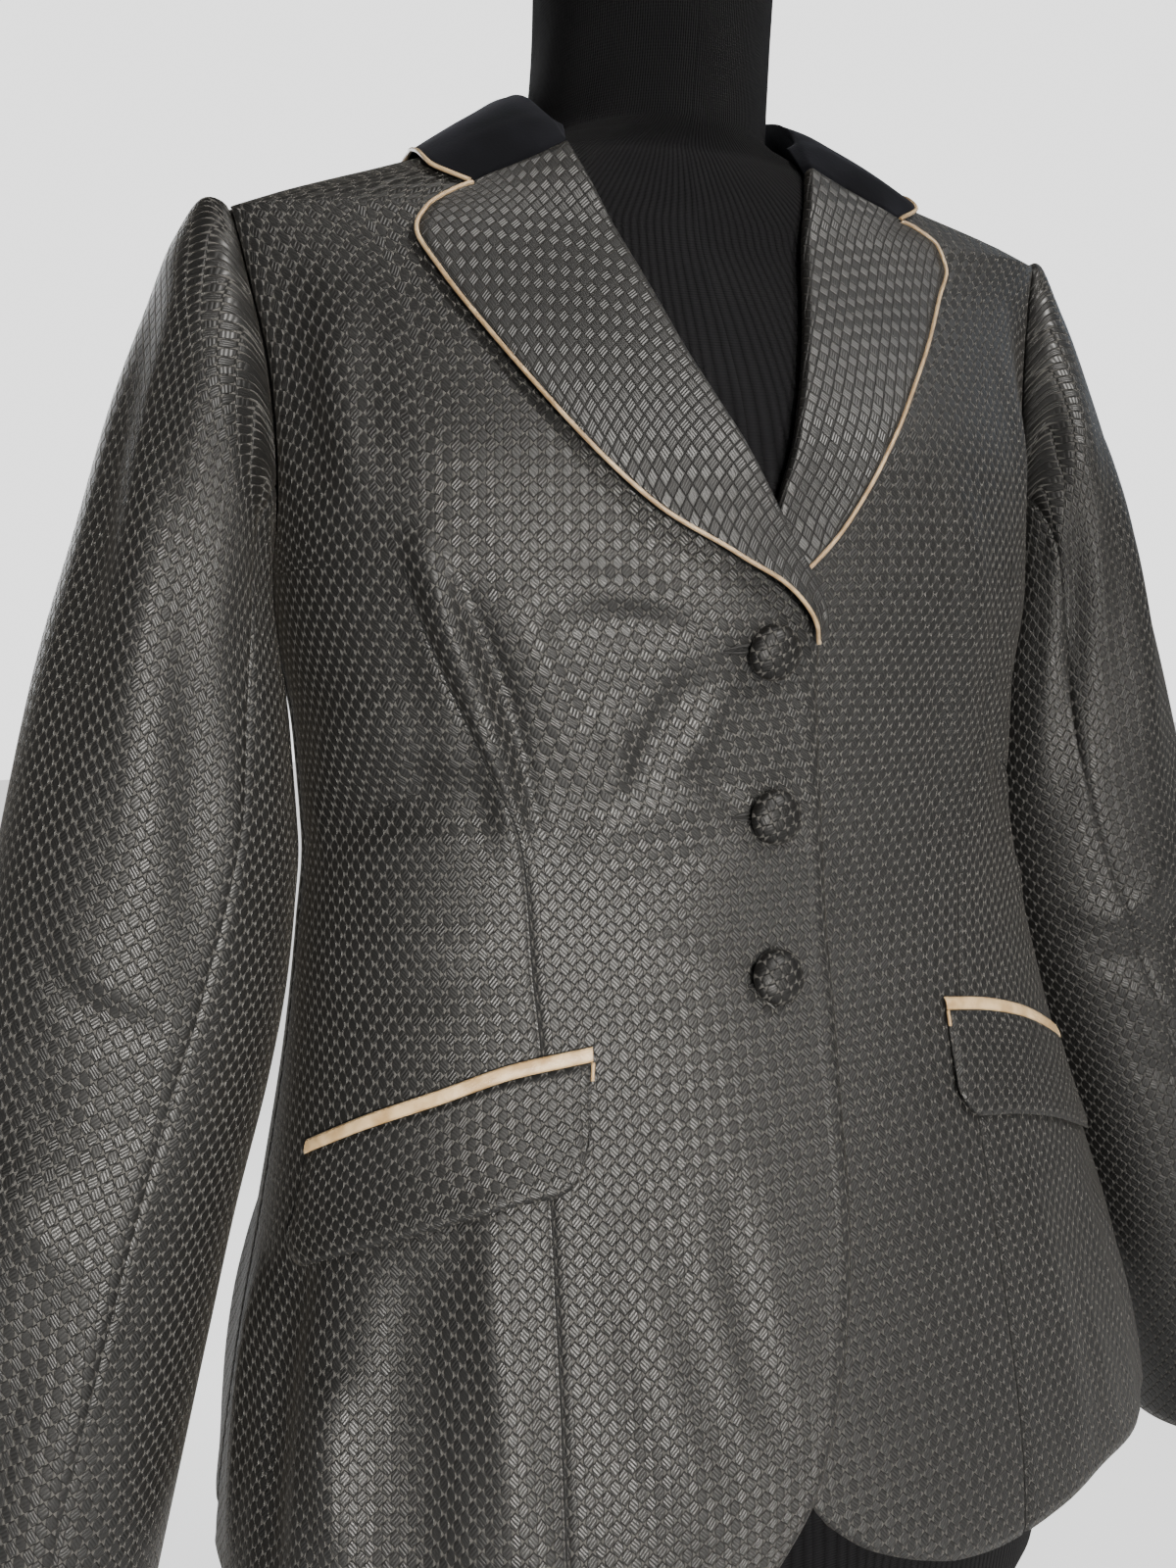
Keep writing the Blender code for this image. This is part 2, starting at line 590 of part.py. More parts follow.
def sleeve_grid(side, rings, angles):
    """Outer points of a sleeve and their unit normals."""
    ring, angle = np.meshgrid(rings, angles)
    last = len(SLEEVE) - 1
    step = 0.05
    lower, upper = np.clip(ring - step, 0, last), np.clip(ring + step, 0, last)
    points = sleeve_surface(side, ring, angle)
    along = sleeve_surface(side, upper, angle) - sleeve_surface(side, lower, angle)
    around = sleeve_surface(side, ring, angle + 1.0) - sleeve_surface(side, ring, angle - 1.0)
    normals = unit(np.cross(around, along)) * side
    normals[:, 0] = normals[:, 1]
    rise = np.zeros(ring.shape)
    for middle, centre, half_rings, half_angle, amount in SLEEVE_FOLDS:
        turn = (angle - centre + 180.0) % 360.0 - 180.0
        rise = rise + amount * bell((ring - middle) / half_rings) * bell(turn / half_angle)
    return points + normals * rise[..., None], normals


def sleeve_panels(side, word, collection):
    turn = 360.0 / RING_STEPS
    rings = np.arange(len(SLEEVE), dtype=float)
    spans = (
        ("sleeve_upper_" + word, BACK_SEAM_STEP, RING_STEPS + FRONT_SEAM_STEP),
        ("sleeve_under_" + word, FRONT_SEAM_STEP, BACK_SEAM_STEP),
    )
    for name, first, last in spans:
        points, normals = sleeve_grid(side, rings, turn * np.arange(first, last + 1))
        top, under = trim(points, points - normals * WALL)
        slab(name, top, under, "jacquard", collection)


def lapel_row(side, row, shift=0.0):
    """Top and underside points across a lapel at one row of its table."""
    table = RIGHT_LAPEL if side == RIGHT else LEFT_LAPEL
    roll, edge = np.array(table[row][:2]), np.array(table[row][2:])
    across = edge - roll
    width = np.linalg.norm(across)
    across = across / width
    beyond = np.array([across[1], -across[0]]) * side * -shift
    top, under = [], []
    for share, top_lift, under_lift in LAPEL_PROFILE:
        top_place = roll + beyond + across * (share * (width + ROLL_OUT_TOP) - ROLL_OUT_TOP)
        under_place = roll + beyond + across * (share * (width + ROLL_OUT_UNDER) - ROLL_OUT_UNDER)
        top.append(on_front(side, top_place[0], top_place[1], top_lift))
        under.append(on_front(side, under_place[0], under_place[1], under_lift))
    return np.array(top), np.array(under)


def lapel(side, collection):
    table = RIGHT_LAPEL if side == RIGHT else LEFT_LAPEL
    rows = [lapel_row(side, row) for row in range(len(table))]
    top = np.stack([row[0] for row in rows], 1)
    under = np.stack([row[1] for row in rows], 1)
    word = "right" if side == RIGHT else "left"
    slab("lapel_" + word, top, under, "jacquard", collection)
    piping("lapel_piping_" + word, top[-1], under[-1], top[-2], ((-1, -2),), collection)


def collar_row(side, row):
    """Top points across the collar: stand from its base, crease, then the fall."""
    table = tuple((number, *values) for number, values in enumerate(COLLAR))
    base_angle, base_z, crease_x, crease_y, crease_z, edge_angle, edge_z = smooth(table, row)
    base = on_coat(side * base_angle, base_z, 0.0)
    crease = np.array([side * crease_x, crease_y, crease_z])
    edge = on_coat(side * edge_angle, edge_z, COLLAR_LIFT)
    away = unit(crease * np.array([1.0, 1.0, 0.0]))
    up = np.array([0.0, 0.0, 1.0])
    points = [base, base + (crease - base) * STAND_SHARE - away * CREASE_HALF / 2, crease]
    for share, _, _ in LAPEL_PROFILE[3:]:
        bulge = CREASE_HALF * (1.0 - share) + FALL_BULGE * math.sin(math.pi * share)
        points.append(crease + (edge - crease) * share + away * bulge + up * bulge * 0.3)
    return np.array(points)


def grid_normals(points):
    along = np.gradient(points, axis=1)
    across = np.gradient(points, axis=0)
    return unit(np.cross(along, across))


def collar(collection):
    """Velvet collar in one piece, from one gorge seam round the neck to the other."""
    last_row = len(RIGHT_LAPEL) - 1
    ends = {side: lapel_row(side, last_row, shift=COLLAR_END_SHIFT) for side in (RIGHT, LEFT)}
    numbers = np.arange(0.0, len(COLLAR) - 1 + COLLAR_STEP / 2, COLLAR_STEP)
    right_rows = [collar_row(RIGHT, row) for row in numbers[:0:-1]]
    left_rows = [collar_row(LEFT, row) for row in numbers]
    top = np.stack([ends[RIGHT][0]] + right_rows + left_rows + [ends[LEFT][0]], 1)
    stand = grid_normals(top[:2])
    fall = grid_normals(top[3:])
    crease = np.zeros((1, top.shape[1], 3))
    crease[..., 2] = 1.0
    normals = np.concatenate([stand, crease, fall])
    under = top - normals * WALL
    under[:, 0] = ends[RIGHT][1]
    under[:, -1] = ends[LEFT][1]
    slab("collar", top, under, "velvet", collection)
    piping("collar_piping", top[-1], under[-1], top[-2], ((0, 1), (-1, -2)), collection)


def piping(name, top_edge, under_edge, inside, notches, collection):
    """Corded satin edge: a tube just outside a cloth wall's edge."""
    middle = (top_edge + under_edge) / 2
    tangent = unit(np.gradient(middle, axis=0))
    sideways = unit(np.cross(tangent, top_edge - under_edge))
    facing = np.sign(np.sum(sideways * (middle - inside), axis=-1, keepdims=True))
    path = middle + sideways * facing * PIPING_OUT
    for end, inward in notches:
        path[end] += (path[inward] - path[end]) * NOTCH_SHARE
    curve = bpy.data.curves.new(name, "CURVE")
    curve.dimensions = "3D"
    curve.bevel_depth = PIPING_RADIUS
    curve.bevel_resolution = PIPING_SIDES_PER_QUARTER
    curve.use_fill_caps = True
    spline = curve.splines.new("POLY")
    spline.points.add(len(path) - 1)
    for point, place in zip(spline.points, path):
        point.co = (*place, 1.0)
    return add_object(name, curve, "satin", collection)


def pocket(side, word, collection):
    """Satin welt with the flap that hangs from it."""
    line = RIGHT_POCKET if side == RIGHT else LEFT_POCKET
    shares = 0.5 - 0.5 * np.cos(np.linspace(0, math.pi, FLAP_STEPS + 1))
    ends = np.linspace(0, 1, len(line))
    angles = smooth(tuple(zip(ends, [row[0] for row in line])), shares)[:, 0]
    heights = smooth(tuple(zip(ends, [row[1] for row in line])), shares)[:, 0]

    def wall(name, drops, leans, thickness, material):
        top, under = [], []
        for drop, lean in zip(drops, leans):
            place = (side * (angles + lean), heights - drop)
            extra = right_front_lift(*place) if side == RIGHT else 0.0
            top.append(on_coat(*place, extra + LAY_GAP + thickness))
            under.append(on_coat(*place, extra + LAY_GAP))
        slab(name, np.array(top), np.array(under), material, collection)

    wall("welt_" + word, (0.0, WELT_HEIGHT), (0.0, 0.0), WELT_WALL, "satin")
    to_end = np.minimum(shares, 1.0 - shares) / FLAP_CORNER
    corner = 1.0 - np.sqrt(1.0 - np.clip(1.0 - to_end, 0.0, 1.0) ** 2)
    parts = np.linspace(0, 1, 4)
    start = WELT_HEIGHT + SEAM
    depth, lean = (FLAP_DEPTH_RIGHT, FLAP_LEAN_RIGHT) if side == RIGHT else (FLAP_DEPTH_LEFT, FLAP_LEAN_LEFT)
    drops = [start + (depth - start) * part * (1.0 - FLAP_CORNER_RISE * corner * part) for part in parts]
    leans = [lean * part for part in parts]
    wall("flap_" + word, drops, leans, WALL, "jacquard")


def turned(name, profile, sides, material, collection):
    """Solid of revolution: a profile of radius and height, top to bottom, round local Z."""
    mesh = bpy.data.meshes.new(name)
    mesh.from_pydata([(radius, 0.0, height) for radius, height in profile],
                     [(i, i + 1) for i in range(len(profile) - 1)], [])
    obj = add_object(name, mesh, material, collection)
    screw = obj.modifiers.new("turn", "SCREW")
    screw.steps = sides
    screw.render_steps = sides
    screw.use_merge_vertices = True
    screw.merge_threshold = 0.00005
    screw.use_smooth_shade = True
    return obj


def buttons(collection):
    for name, height in BUTTON_HEIGHTS:
        place = on_front(RIGHT, 0.0, height, 0.0)
        obj = turned(name, BUTTON_PROFILE, BUTTON_SIDES, "jacquard", collection)
        facing = outward(0.0, height)
        obj.location = place
        obj.rotation_euler = (math.acos(facing[2]), 0.0, math.atan2(facing[0], -facing[1]))


def ring_loft(name, rings, material, collection):
    """Closed solid through level rings that all have the same number of points."""
    builder = bmesh.new()
    loops = [[builder.verts.new(point) for point in ring] for ring in rings]
    count = len(loops[0])
    for lower, upper in zip(loops, loops[1:]):
        for i in range(count):
            j = (i + 1) % count
            builder.faces.new((lower[i], lower[j], upper[j], upper[i]))
    builder.faces.new(loops[0][::-1])
    builder.faces.new(loops[-1])
    return mesh_object(name, builder, material, collection)


def dress_form(collection):
    """Limbless padded form inside the coat, with its cap, pole and base."""
    angles = np.arange(FORM_COLUMNS) * 360.0 / FORM_COLUMNS
    rings = []
    for height in FORM_ROWS:
        ease = smooth(FORM_EASE, height)[0]
        if height == FORM_BOTTOM:
            ease = ease + FORM_EDGE_ROUND
        ring = body(angles, max(height, HEM))
        facing = outward(angles, max(height, HEM))
        level = unit(facing * np.array([1.0, 1.0, 0.0])) if height < FORM_SHOULDER else facing
        ring = ring - level * ease
        if height < FORM_SHOULDER:
            ring[:, 2] = height
        rings.append(ring)
    for height, half_width, centre, half_depth in FORM_NECK:
        turn = np.radians(angles)
        ring = np.stack([half_width * np.sin(turn), centre - half_depth * np.cos(turn),
                         np.full(FORM_COLUMNS, height)], -1)
        rings.append(ring)
    ring_loft("form_torso", rings, "knit", collection)
    neck_top, _, neck_centre, _ = FORM_NECK[-1]
    cap = turned("form_cap", CAP_PROFILE, CAP_SIDES, "black_wood", collection)
    cap.location = (0.0, neck_centre, neck_top)
    turned("form_pole", POLE_PROFILE, POLE_SIDES, "black_metal", collection)
    turned("form_base", BASE_PROFILE, BASE_SIDES, "black_metal", collection)


def main():
    for obj in list(bpy.data.objects):
        bpy.data.objects.remove(obj)
    collection = bpy.data.collections.new(COLLECTION)
    bpy.context.scene.collection.children.link(collection)
    for side, word in ((RIGHT, "right"), (LEFT, "left")):
        front_panel(side, collection)
        back_panels(side, word, collection)
        sleeve_panels(side, word, collection)
        lapel(side, collection)
        pocket(side, word, collection)
    collar(collection)
    buttons(collection)
    dress_form(collection)


main()
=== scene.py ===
"""Dressed hunt coat on its form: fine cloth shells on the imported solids, with weave, seams and creases."""

import math

import bpy
import numpy as np
from mathutils import Matrix, Vector


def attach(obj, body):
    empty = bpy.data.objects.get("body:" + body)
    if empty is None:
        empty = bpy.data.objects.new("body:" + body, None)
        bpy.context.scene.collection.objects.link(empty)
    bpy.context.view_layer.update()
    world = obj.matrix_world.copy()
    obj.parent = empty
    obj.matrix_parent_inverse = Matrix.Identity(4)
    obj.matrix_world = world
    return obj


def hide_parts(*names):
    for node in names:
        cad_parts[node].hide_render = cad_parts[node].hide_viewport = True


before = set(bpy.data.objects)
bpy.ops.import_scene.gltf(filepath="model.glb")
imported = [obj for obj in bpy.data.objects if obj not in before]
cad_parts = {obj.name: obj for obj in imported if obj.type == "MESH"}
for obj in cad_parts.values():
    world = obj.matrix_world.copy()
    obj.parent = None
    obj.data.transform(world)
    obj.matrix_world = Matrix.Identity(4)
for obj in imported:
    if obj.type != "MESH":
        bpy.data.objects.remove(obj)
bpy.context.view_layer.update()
RIGHT = -1
LEFT = 1
WORD = {RIGHT: "right", LEFT: "left"}

# Cloth and seams
SEAM = 0.0003
OVERLAP_LIFT = 0.0028
LAPEL_STEP = 0.0046
# Where the right front rises over the left one, and over the left lapel's end: from, to
OVERLAP_X = (-0.09, -0.023)
LAPEL_STEP_X = (-0.06, -0.01)
LAPEL_STEP_START = (1.15, 1.188)
LAPEL_STEP_END = (1.232, 1.29)

# Level sections of the coat's torso, from hem to neck
# height, half_width, centre_y, front_depth, back_depth, front_square, back_square
SECTIONS = (
    (0.735, 0.247, 0, 0.163, 0.168, 2.25, 2.2),
    (0.8, 0.239, 0, 0.158, 0.16, 2.25, 2.2),
    (0.87, 0.226, 0, 0.146, 0.148, 2.25, 2.2),
    (0.94, 0.2095, 0, 0.1295, 0.132, 2.3, 2.2),
    (1.01, 0.1945, 0, 0.1115, 0.112, 2.35, 2.2),
    (1.06, 0.1865, 0, 0.103, 0.101, 2.35, 2.2),
    (1.1, 0.1815, 0, 0.102, 0.098, 2.4, 2.2),
    (1.15, 0.1825, 0, 0.1065, 0.107, 2.45, 2.2),
    (1.2, 0.1895, 0, 0.1125, 0.116, 2.5, 2.2),
    (1.25, 0.192, -0.006, 0.105, 0.122, 2.45, 2.2),
    (1.3, 0.195, -0.018, 0.078, 0.13, 2.3, 2.2),
    (1.342, 0.199, -0.03, 0.046, 0.126, 2.1, 2.1),
    (1.364, 0.2, -0.036, 0.031, 0.118, 2, 2),
    (1.368, 0.1895, -0.036, 0.03, 0.115, 2, 2),
    (1.389, 0.135, -0.023, 0.039, 0.1, 2, 2),
    (1.412, 0.075, -0.008, 0.048, 0.078, 2, 2),
)

# Armhole: an oval round the side seam's top, as heights and angles
ARMHOLE_HEIGHT = 1.2895
ARMHOLE_RISE = 0.0745
ARMHOLE_FRONT = 15
ARMHOLE_BACK = 27

# The plain hem, and the height from which rows stretch to the real one
HEM = 0.785
HEM_REACH = 0.95

# Front edges below the lapels: height, x
EDGE = {RIGHT: (
    (0.811, -0.034), (0.832, -0.0163), (0.859, -0.0033), (0.894, 0.0087),
    (0.93, 0.0163), (0.968, 0.0207), (1.028, 0.0261), (1.092, 0.0275),
    (1.14, 0.0255), (1.17, 0.023),
), LEFT: (
    (0.819, -0.0115), (0.829, -0.018), (0.85, -0.022), (0.95, -0.0225),
    (1.15, -0.0225), (1.18, -0.0205),
)}

# Where the front meets the neck and shoulder: height, x from the middle
NECK_POINT = (1.412, 0.0655)

# Hem height against x, from the cutaway corner to the side seam
HEM_LINE = {RIGHT: (
    (-0.24, 0.78), (-0.155, 0.783), (-0.12, 0.785), (-0.095, 0.787),
    (-0.075, 0.7895), (-0.058, 0.795), (-0.045, 0.8025), (-0.034, 0.811),
), LEFT: (
    (-0.0115, 0.819), (0.001, 0.808), (0.018, 0.799), (0.032, 0.7935),
    (0.05, 0.7885), (0.073, 0.7865), (0.115, 0.789), (0.155, 0.794),
    (0.24, 0.797),
)}
BACK_HEM_DROP = 0.004

# Long front dart, apex to hem, carried on to the shoulder as a guide: height, angle
DART = {RIGHT: (
    (0.785, 27), (0.894, 27.8), (1.01, 28.8), (1.04, 29.7), (1.1, 31.6),
    (1.131, 35.9), (1.164, 41), (1.195, 44.5), (1.223, 46.5), (1.29, 45),
    (1.33, 47), (1.364, 54), (1.389, 62), (1.412, 70),
), LEFT: (
    (0.785, 18.5), (0.833, 20.5), (0.893, 22.5), (0.954, 24.5), (1.014, 27),
    (1.04, 29.7), (1.084, 34), (1.123, 39.5), (1.164, 43), (1.223, 46.5),
    (1.29, 45), (1.33, 47), (1.36, 54), (1.385, 62), (1.408, 70),
)}
DART_TOP = 1.215
DART_FADE = 0.035

# Back princess seam: height, angle, half of the vent's opening in degrees.
# It keeps a small angle behind the armhole's edge.
BACK_SEAM = (
    (0.785, 128, 0.8), (0.9, 128, 0.35), (0.94, 128, 0),
    (1.1, 126.5, 0), (1.2, 125, 0), (1.25, 121, 0),
    (1.2749, 116.9, 0),
)
LEAST_SEAM_ANGLE = 0.25

# Soft folds of the torso: angle, height, half_angle, half_height, rise
FOLDS = (
    (-41, 1.165, 8, 0.085, 0.003),
    (-27, 1.11, 9, 0.06, -0.0025),
    (-60, 0.85, 11, 0.12, 0.006),
    (-36, 0.82, 8, 0.1, 0.0035),
    (44, 0.84, 12, 0.11, 0.005),
    (72, 0.86, 11, 0.12, 0.0045),
    (108, 0.85, 10, 0.12, 0.0055),
    (150, 0.84, 12, 0.13, 0.005),
    (-108, 0.85, 10, 0.12, 0.005),
    (-152, 0.84, 12, 0.13, 0.0055),
    (140, 1.115, 16, 0.03, -0.003),
    (-138, 1.11, 16, 0.032, -0.003),
)

# Lapels: where the roll line and the outer edge lie on the front, break to gorge
# roll_x, roll_z, edge_x, edge_z
LAPEL = {RIGHT: (
    (0.0222, 1.18, 0.0205, 1.1765),
    (0.02, 1.189, 0.015, 1.1868),
    (0.0135, 1.202, 0.0022, 1.1988),
    (0.0033, 1.2213, -0.0175, 1.211),
    (-0.0045, 1.2385, -0.0445, 1.2286),
    (-0.0121, 1.2558, -0.0675, 1.2498),
    (-0.02, 1.274, -0.0878, 1.2754),
    (-0.029, 1.297, -0.1065, 1.3049),
    (-0.037, 1.323, -0.12, 1.33),
    (-0.043, 1.343, -0.1278, 1.3489),
    (-0.048, 1.358, -0.1226, 1.3594),
    (-0.054, 1.375, -0.1128, 1.3664),
    (-0.0599, 1.3918, -0.1023, 1.3725),
), LEFT: (
    (-0.0065, 1.203, 0.0035, 1.1955),
    (-0.001, 1.212, 0.0101, 1.2015),
    (0.0052, 1.2221, 0.0205, 1.21),
    (0.012, 1.24, 0.0314, 1.22),
    (0.0185, 1.256, 0.047, 1.2385),
    (0.024, 1.272, 0.064, 1.261),
    (0.03, 1.289, 0.0841, 1.2879),
    (0.036, 1.308, 0.1, 1.31),
    (0.0425, 1.328, 0.115, 1.333),
    (0.0475, 1.345, 0.1244, 1.3494),
    (0.0515, 1.359, 0.1225, 1.3605),
    (0.056, 1.375, 0.114, 1.3675),
    (0.061, 1.392, 0.104, 1.3725),
)}
# Cross profile of a lapel: share of its width, lift of its top
LAPEL_PROFILE = (
    (0, -0.0012), (0, 0.0012), (0.03, 0.0038), (0.12, 0.0036), (0.32, 0.0029),
    (0.55, 0.0026), (0.8, 0.0026), (1, 0.0026),
)
ROLL_OUT = 0.0024

# Collar, from centre back to the last row before the gorge, for the wearer's left
# base_angle, base_z, crease_x, crease_y, crease_z, edge_angle, edge_z
COLLAR = (
    (180, 1.4102, 0, 0.0738, 1.449, 180, 1.39),
    (160, 1.4102, 0.024, 0.069, 1.4485, 161, 1.3905),
    (140, 1.4102, 0.044, 0.054, 1.447, 143, 1.3915),
    (118, 1.4102, 0.059, 0.031, 1.444, 123, 1.393),
    (97, 1.4102, 0.0655, 0.004, 1.439, 105, 1.3945),
    (76, 1.4102, 0.065, -0.019, 1.431, 86, 1.3955),
    (57, 1.4102, 0.064, -0.037, 1.419, 61, 1.3885),
    (41, 1.4082, 0.062, -0.049, 1.4085, 48, 1.38),
)
COLLAR_STEP = 0.5
COLLAR_END_SHIFT = 0.00075
STAND_SHARE = 0.8
FALL_BULGE = 0.002
FALL_RISE = 0.3
COLLAR_LIFT = 0.0038
CREASE_HALF = 0.0024

# Sleeve rings, armhole to cuff, for the wearer's left
# outer_x, outer_z, inner_x, inner_z, centre_y, half_depth, twist
SLEEVE = (
    (0.2003, 1.3643, 0.1906, 1.215, -0.008, 0.044, 0),
    (0.2085, 1.3692, 0.192, 1.204, -0.007, 0.05, 0),
    (0.2205, 1.356, 0.1912, 1.19, -0.005, 0.054, 0),
    (0.234, 1.327, 0.189, 1.173, -0.003, 0.057, 0),
    (0.25, 1.289, 0.1866, 1.152, -0.001, 0.059, 0),
    (0.2675, 1.238, 0.1858, 1.13, 0.001, 0.06, 0),
    (0.286, 1.185, 0.1852, 1.1, 0.002, 0.06, 1),
    (0.3015, 1.129, 0.1885, 1.07, 0.002, 0.059, 3),
    (0.315, 1.074, 0.1945, 1.035, 0.001, 0.058, 7),
    (0.327, 1.018, 0.2055, 0.993, 0, 0.057, 12),
    (0.3375, 0.961, 0.2225, 0.941, -0.002, 0.055, 17),
    (0.347, 0.902, 0.2395, 0.882, -0.004, 0.053, 22),
    (0.355, 0.843, 0.256, 0.824, -0.006, 0.051, 27),
    (0.3615, 0.786, 0.2715, 0.769, -0.008, 0.05, 30),
    (0.3665, 0.737, 0.2835, 0.722, -0.01, 0.049, 32),
)
CAP_FADE = 3
SLEEVE_CAP_END = 2
# Length below the cap over which creases set in: from, to
CAP_PLAIN = (0.004, 0.03)
# Sleeve pieces: name, first and last angle, columns
SLEEVE_PARTS = (("sleeve_upper_", 240, 480, 52), ("sleeve_under_", 120, 240, 26))
# Soft folds of both sleeves: ring, angle, half_rings, half_angle, rise
SLEEVE_FOLDS = (
    (5, 70, 3, 26, 0.004),
    (4.5, 112, 2.5, 24, -0.004),
    (9, 80, 0.9, 60, -0.005),
    (10.2, 60, 0.9, 50, 0.003),
    (8, 250, 1.2, 40, 0.003),
)

# Pockets: top line of the welt as angle and height, front end to back end
POCKET = {RIGHT: (
    (22, 1.0137), (32.3, 1.0094), (44.3, 0.9997), (56.6, 0.9896), (71.6, 0.9747),
), LEFT: (
    (22.6, 1.0129), (30, 1.0091), (40.9, 1.0003), (54.2, 0.9855), (68, 0.971),
)}
WELT_HEIGHT = 0.006
# Flaps: depth, and how many degrees the lower edge leans back
FLAP = {RIGHT: (0.055, 1.5), LEFT: (0.052, -1.4)}
FLAP_CORNER = 0.11
FLAP_CORNER_RISE = 0.3

# Dress form and stand
# Height, distance inside the coat's outer surface
FORM_EASE = (
    (0.7, 0.06), (0.785, 0.04), (0.9, 0.026), (1, 0.012), (1.1, 0.007),
    (1.25, 0.007), (1.34, 0.0062), (1.356, 0.006), (1.364, 0.0046),
    (1.374, 0.0038), (1.39, 0.0036), (1.402, 0.0042),
)
# Neck: height, half_width, centre_y, half_depth
FORM_NECK = (
    (1.411, 0.061, 0, 0.062), (1.422, 0.0585, -0.006, 0.059),
    (1.436, 0.057, -0.012, 0.0575), (1.465, 0.056, -0.021, 0.056), (1.53, 0.056, -0.036, 0.056),
)
FORM_SHOULDER = 1.356
FORM_ROWS = (0.7, 0.702, 0.74, 0.785, 0.83, 0.88, 0.93, 0.98, 1.03, 1.08, 1.13,
             1.18, 1.23, 1.27, 1.305, 1.335, FORM_SHOULDER, 1.364, 1.374, 1.386, 1.396, 1.402)
FORM_EDGE_ROUND = 0.012

# Grids of the fine shells
SHOULDER_TOP = 1.409
BODY_ROWS = 118
ARMHOLE_ROWS = 44
SHOULDER_FINE_ROWS = 14
WAIST_ROW = 82
FRONT_AHEAD = 40
FRONT_BEHIND = 32
DART_NEAR = (0.008, 0.022, 0.045)
EDGE_NEAR = (0.0015, 0.006, 0.016)
SIDE_BACK_COLUMNS = 24
BACK_COLUMNS = 36
SLEEVE_CAP_RINGS = 14
SLEEVE_RINGS = 110
SLEEVE_GRAIN_ROW = 62
FLAP_COLUMNS = 41
FLAP_ROWS = 17
FLAP_ROW_POWER = 0.9
WELT_ROWS = 7
FORM_FINE_COLUMNS = 144
FORM_RIB_RADIUS = 0.1
DISC_RINGS = 6
# Finer parts of each coarse step, across and along
LAPEL_PARTS = (4, 8)
COLLAR_PARTS = (4, 5)
FORM_PARTS = (1, 3)
DART_PARTS = (1, 6)
# Steps for slopes: degrees, metres, rings
TURN_STEP = 0.05
HEIGHT_STEP = 0.0001
RING_STEP = 0.05

# Fine sizes
FRONT_WALL = 0.0017
LAPEL_WALL = 0.0011
FLAP_WALL = 0.0008
EDGE_DROP = 0.0011
EDGE_ROLL = 0.0008
EDGE_ROLL_IN = 0.004
DEEPEST_CREASE = 0.004
EDGE_HALF = 0.0016
# Radius of the dark line of painted shade along the dart seam
SEAM_SHADE_RADIUS = 0.0004
SEAM_LINE_SHARE = 0.15
# Share up the lapel, and how far its outer edge stands off there; how late it leaves the chest
LAPEL_STANDS = ((0, 0), (0.05, 0.003), (0.14, 0.0052), (0.3, 0.004), (0.6, 0.0016), (1, 0.001))
LAPEL_STAND_POWER = 1.5
BUST_DART_DEPTH = 0.0014
BUST_DART_HALF = 0.0035
BUST_DART_SHARE = 0.8
BUST_DART_ENDS = (0.03, 0.97)
BUST_DART_FADE = 0.4
PIPING_OFFSET = 0.0009
PIPING_FINE_RADIUS = 0.00095
ROUND = 3
WELT_LIFT = 0.0016
WELT_CROWN = 0.0007
CROWN_POWER = 0.6
FLAP_LIFT = 0.0022
FLAP_SPRING = 0.0022
FLAP_EDGE_SHARE = 0.022
FLAP_HEM_SHARE = 0.045
WELT_END = 3
WELT_END_RADIUS = 0.0008

# Covered buttons: radius and height from the centre of the dome to under the rim
BUTTON_DOME = (
    (0.00001, 0.008), (0.0034, 0.0078), (0.0066, 0.0071), (0.0092, 0.0059), (0.0111, 0.0042),
    (0.0118, 0.0026), (0.0113, 0.0015), (0.009, 0.001), (0.0062, 0.0008), (0.0046, 0.0002),
)
BUTTON_LIFT = 0.0018
BUTTON_COLUMNS = 48
BUTTON_ROWS = 34
BUTTONHOLE_HALF = 0.0013
BUTTONHOLE_THREAD = 0.0009
HOLE_STEPS = 13
HOLE_END = 0.002
HOLE_THIN = 0.25
HOLE_SWELL = 1.1
# Height, shift across and up, its hole's start, the hole's height over the middle and its rise
BUTTONS = {
    "button_top": (1.172, -0.0006, 0.0006, -0.0222, 0.0014, 0.0016),
    "button_middle": (1.1015, 0.0024, 0.0004, -0.0164, 0.001, 0.0004),
    "button_bottom": (1.031, -0.002, 0.002, -0.015, -0.0005, 0),
}

# Colours of the cloth
FLOAT_COLOUR = (0.0062, 0.0061, 0.0059)
# Grooves between the floats, darker than the float crests: painted shade
GROOVE_SHADE_COLOUR = (0.0016, 0.0016, 0.0016)
LINE_COLOUR = (0.0036, 0.0035, 0.0034)
CORNER_COLOUR = (0.064, 0.062, 0.058)
FLOAT_ROUGHNESS = 0.41
BODY_GLOSS = 0.55
# Lapel specular level, above the body's so the lapels show brighter: painted sheen
LAPEL_PAINTED_SHEEN = 0.74
# Button specular level, below the body's so the buttons read darker: painted shade
BUTTON_SHADED_GLOSS = 0.34
GROOVE_ROUGHNESS = 0.62
# Weave: where a block's outline and the ground at its side corners begin, and its heights
LINE_FROM = (0.8, 0.94)
CORNER_FROM = (0.54, 0.66)
NO_CORNERS = (1.1, 1.2)
CROWN_FALL = 0.16
FLOAT_RISE = 0.42
WEAVE_BUMP = 0.00027
BUTTON_BUMP = 0.00012
RIB = 0.0019
STITCH = 0.0013
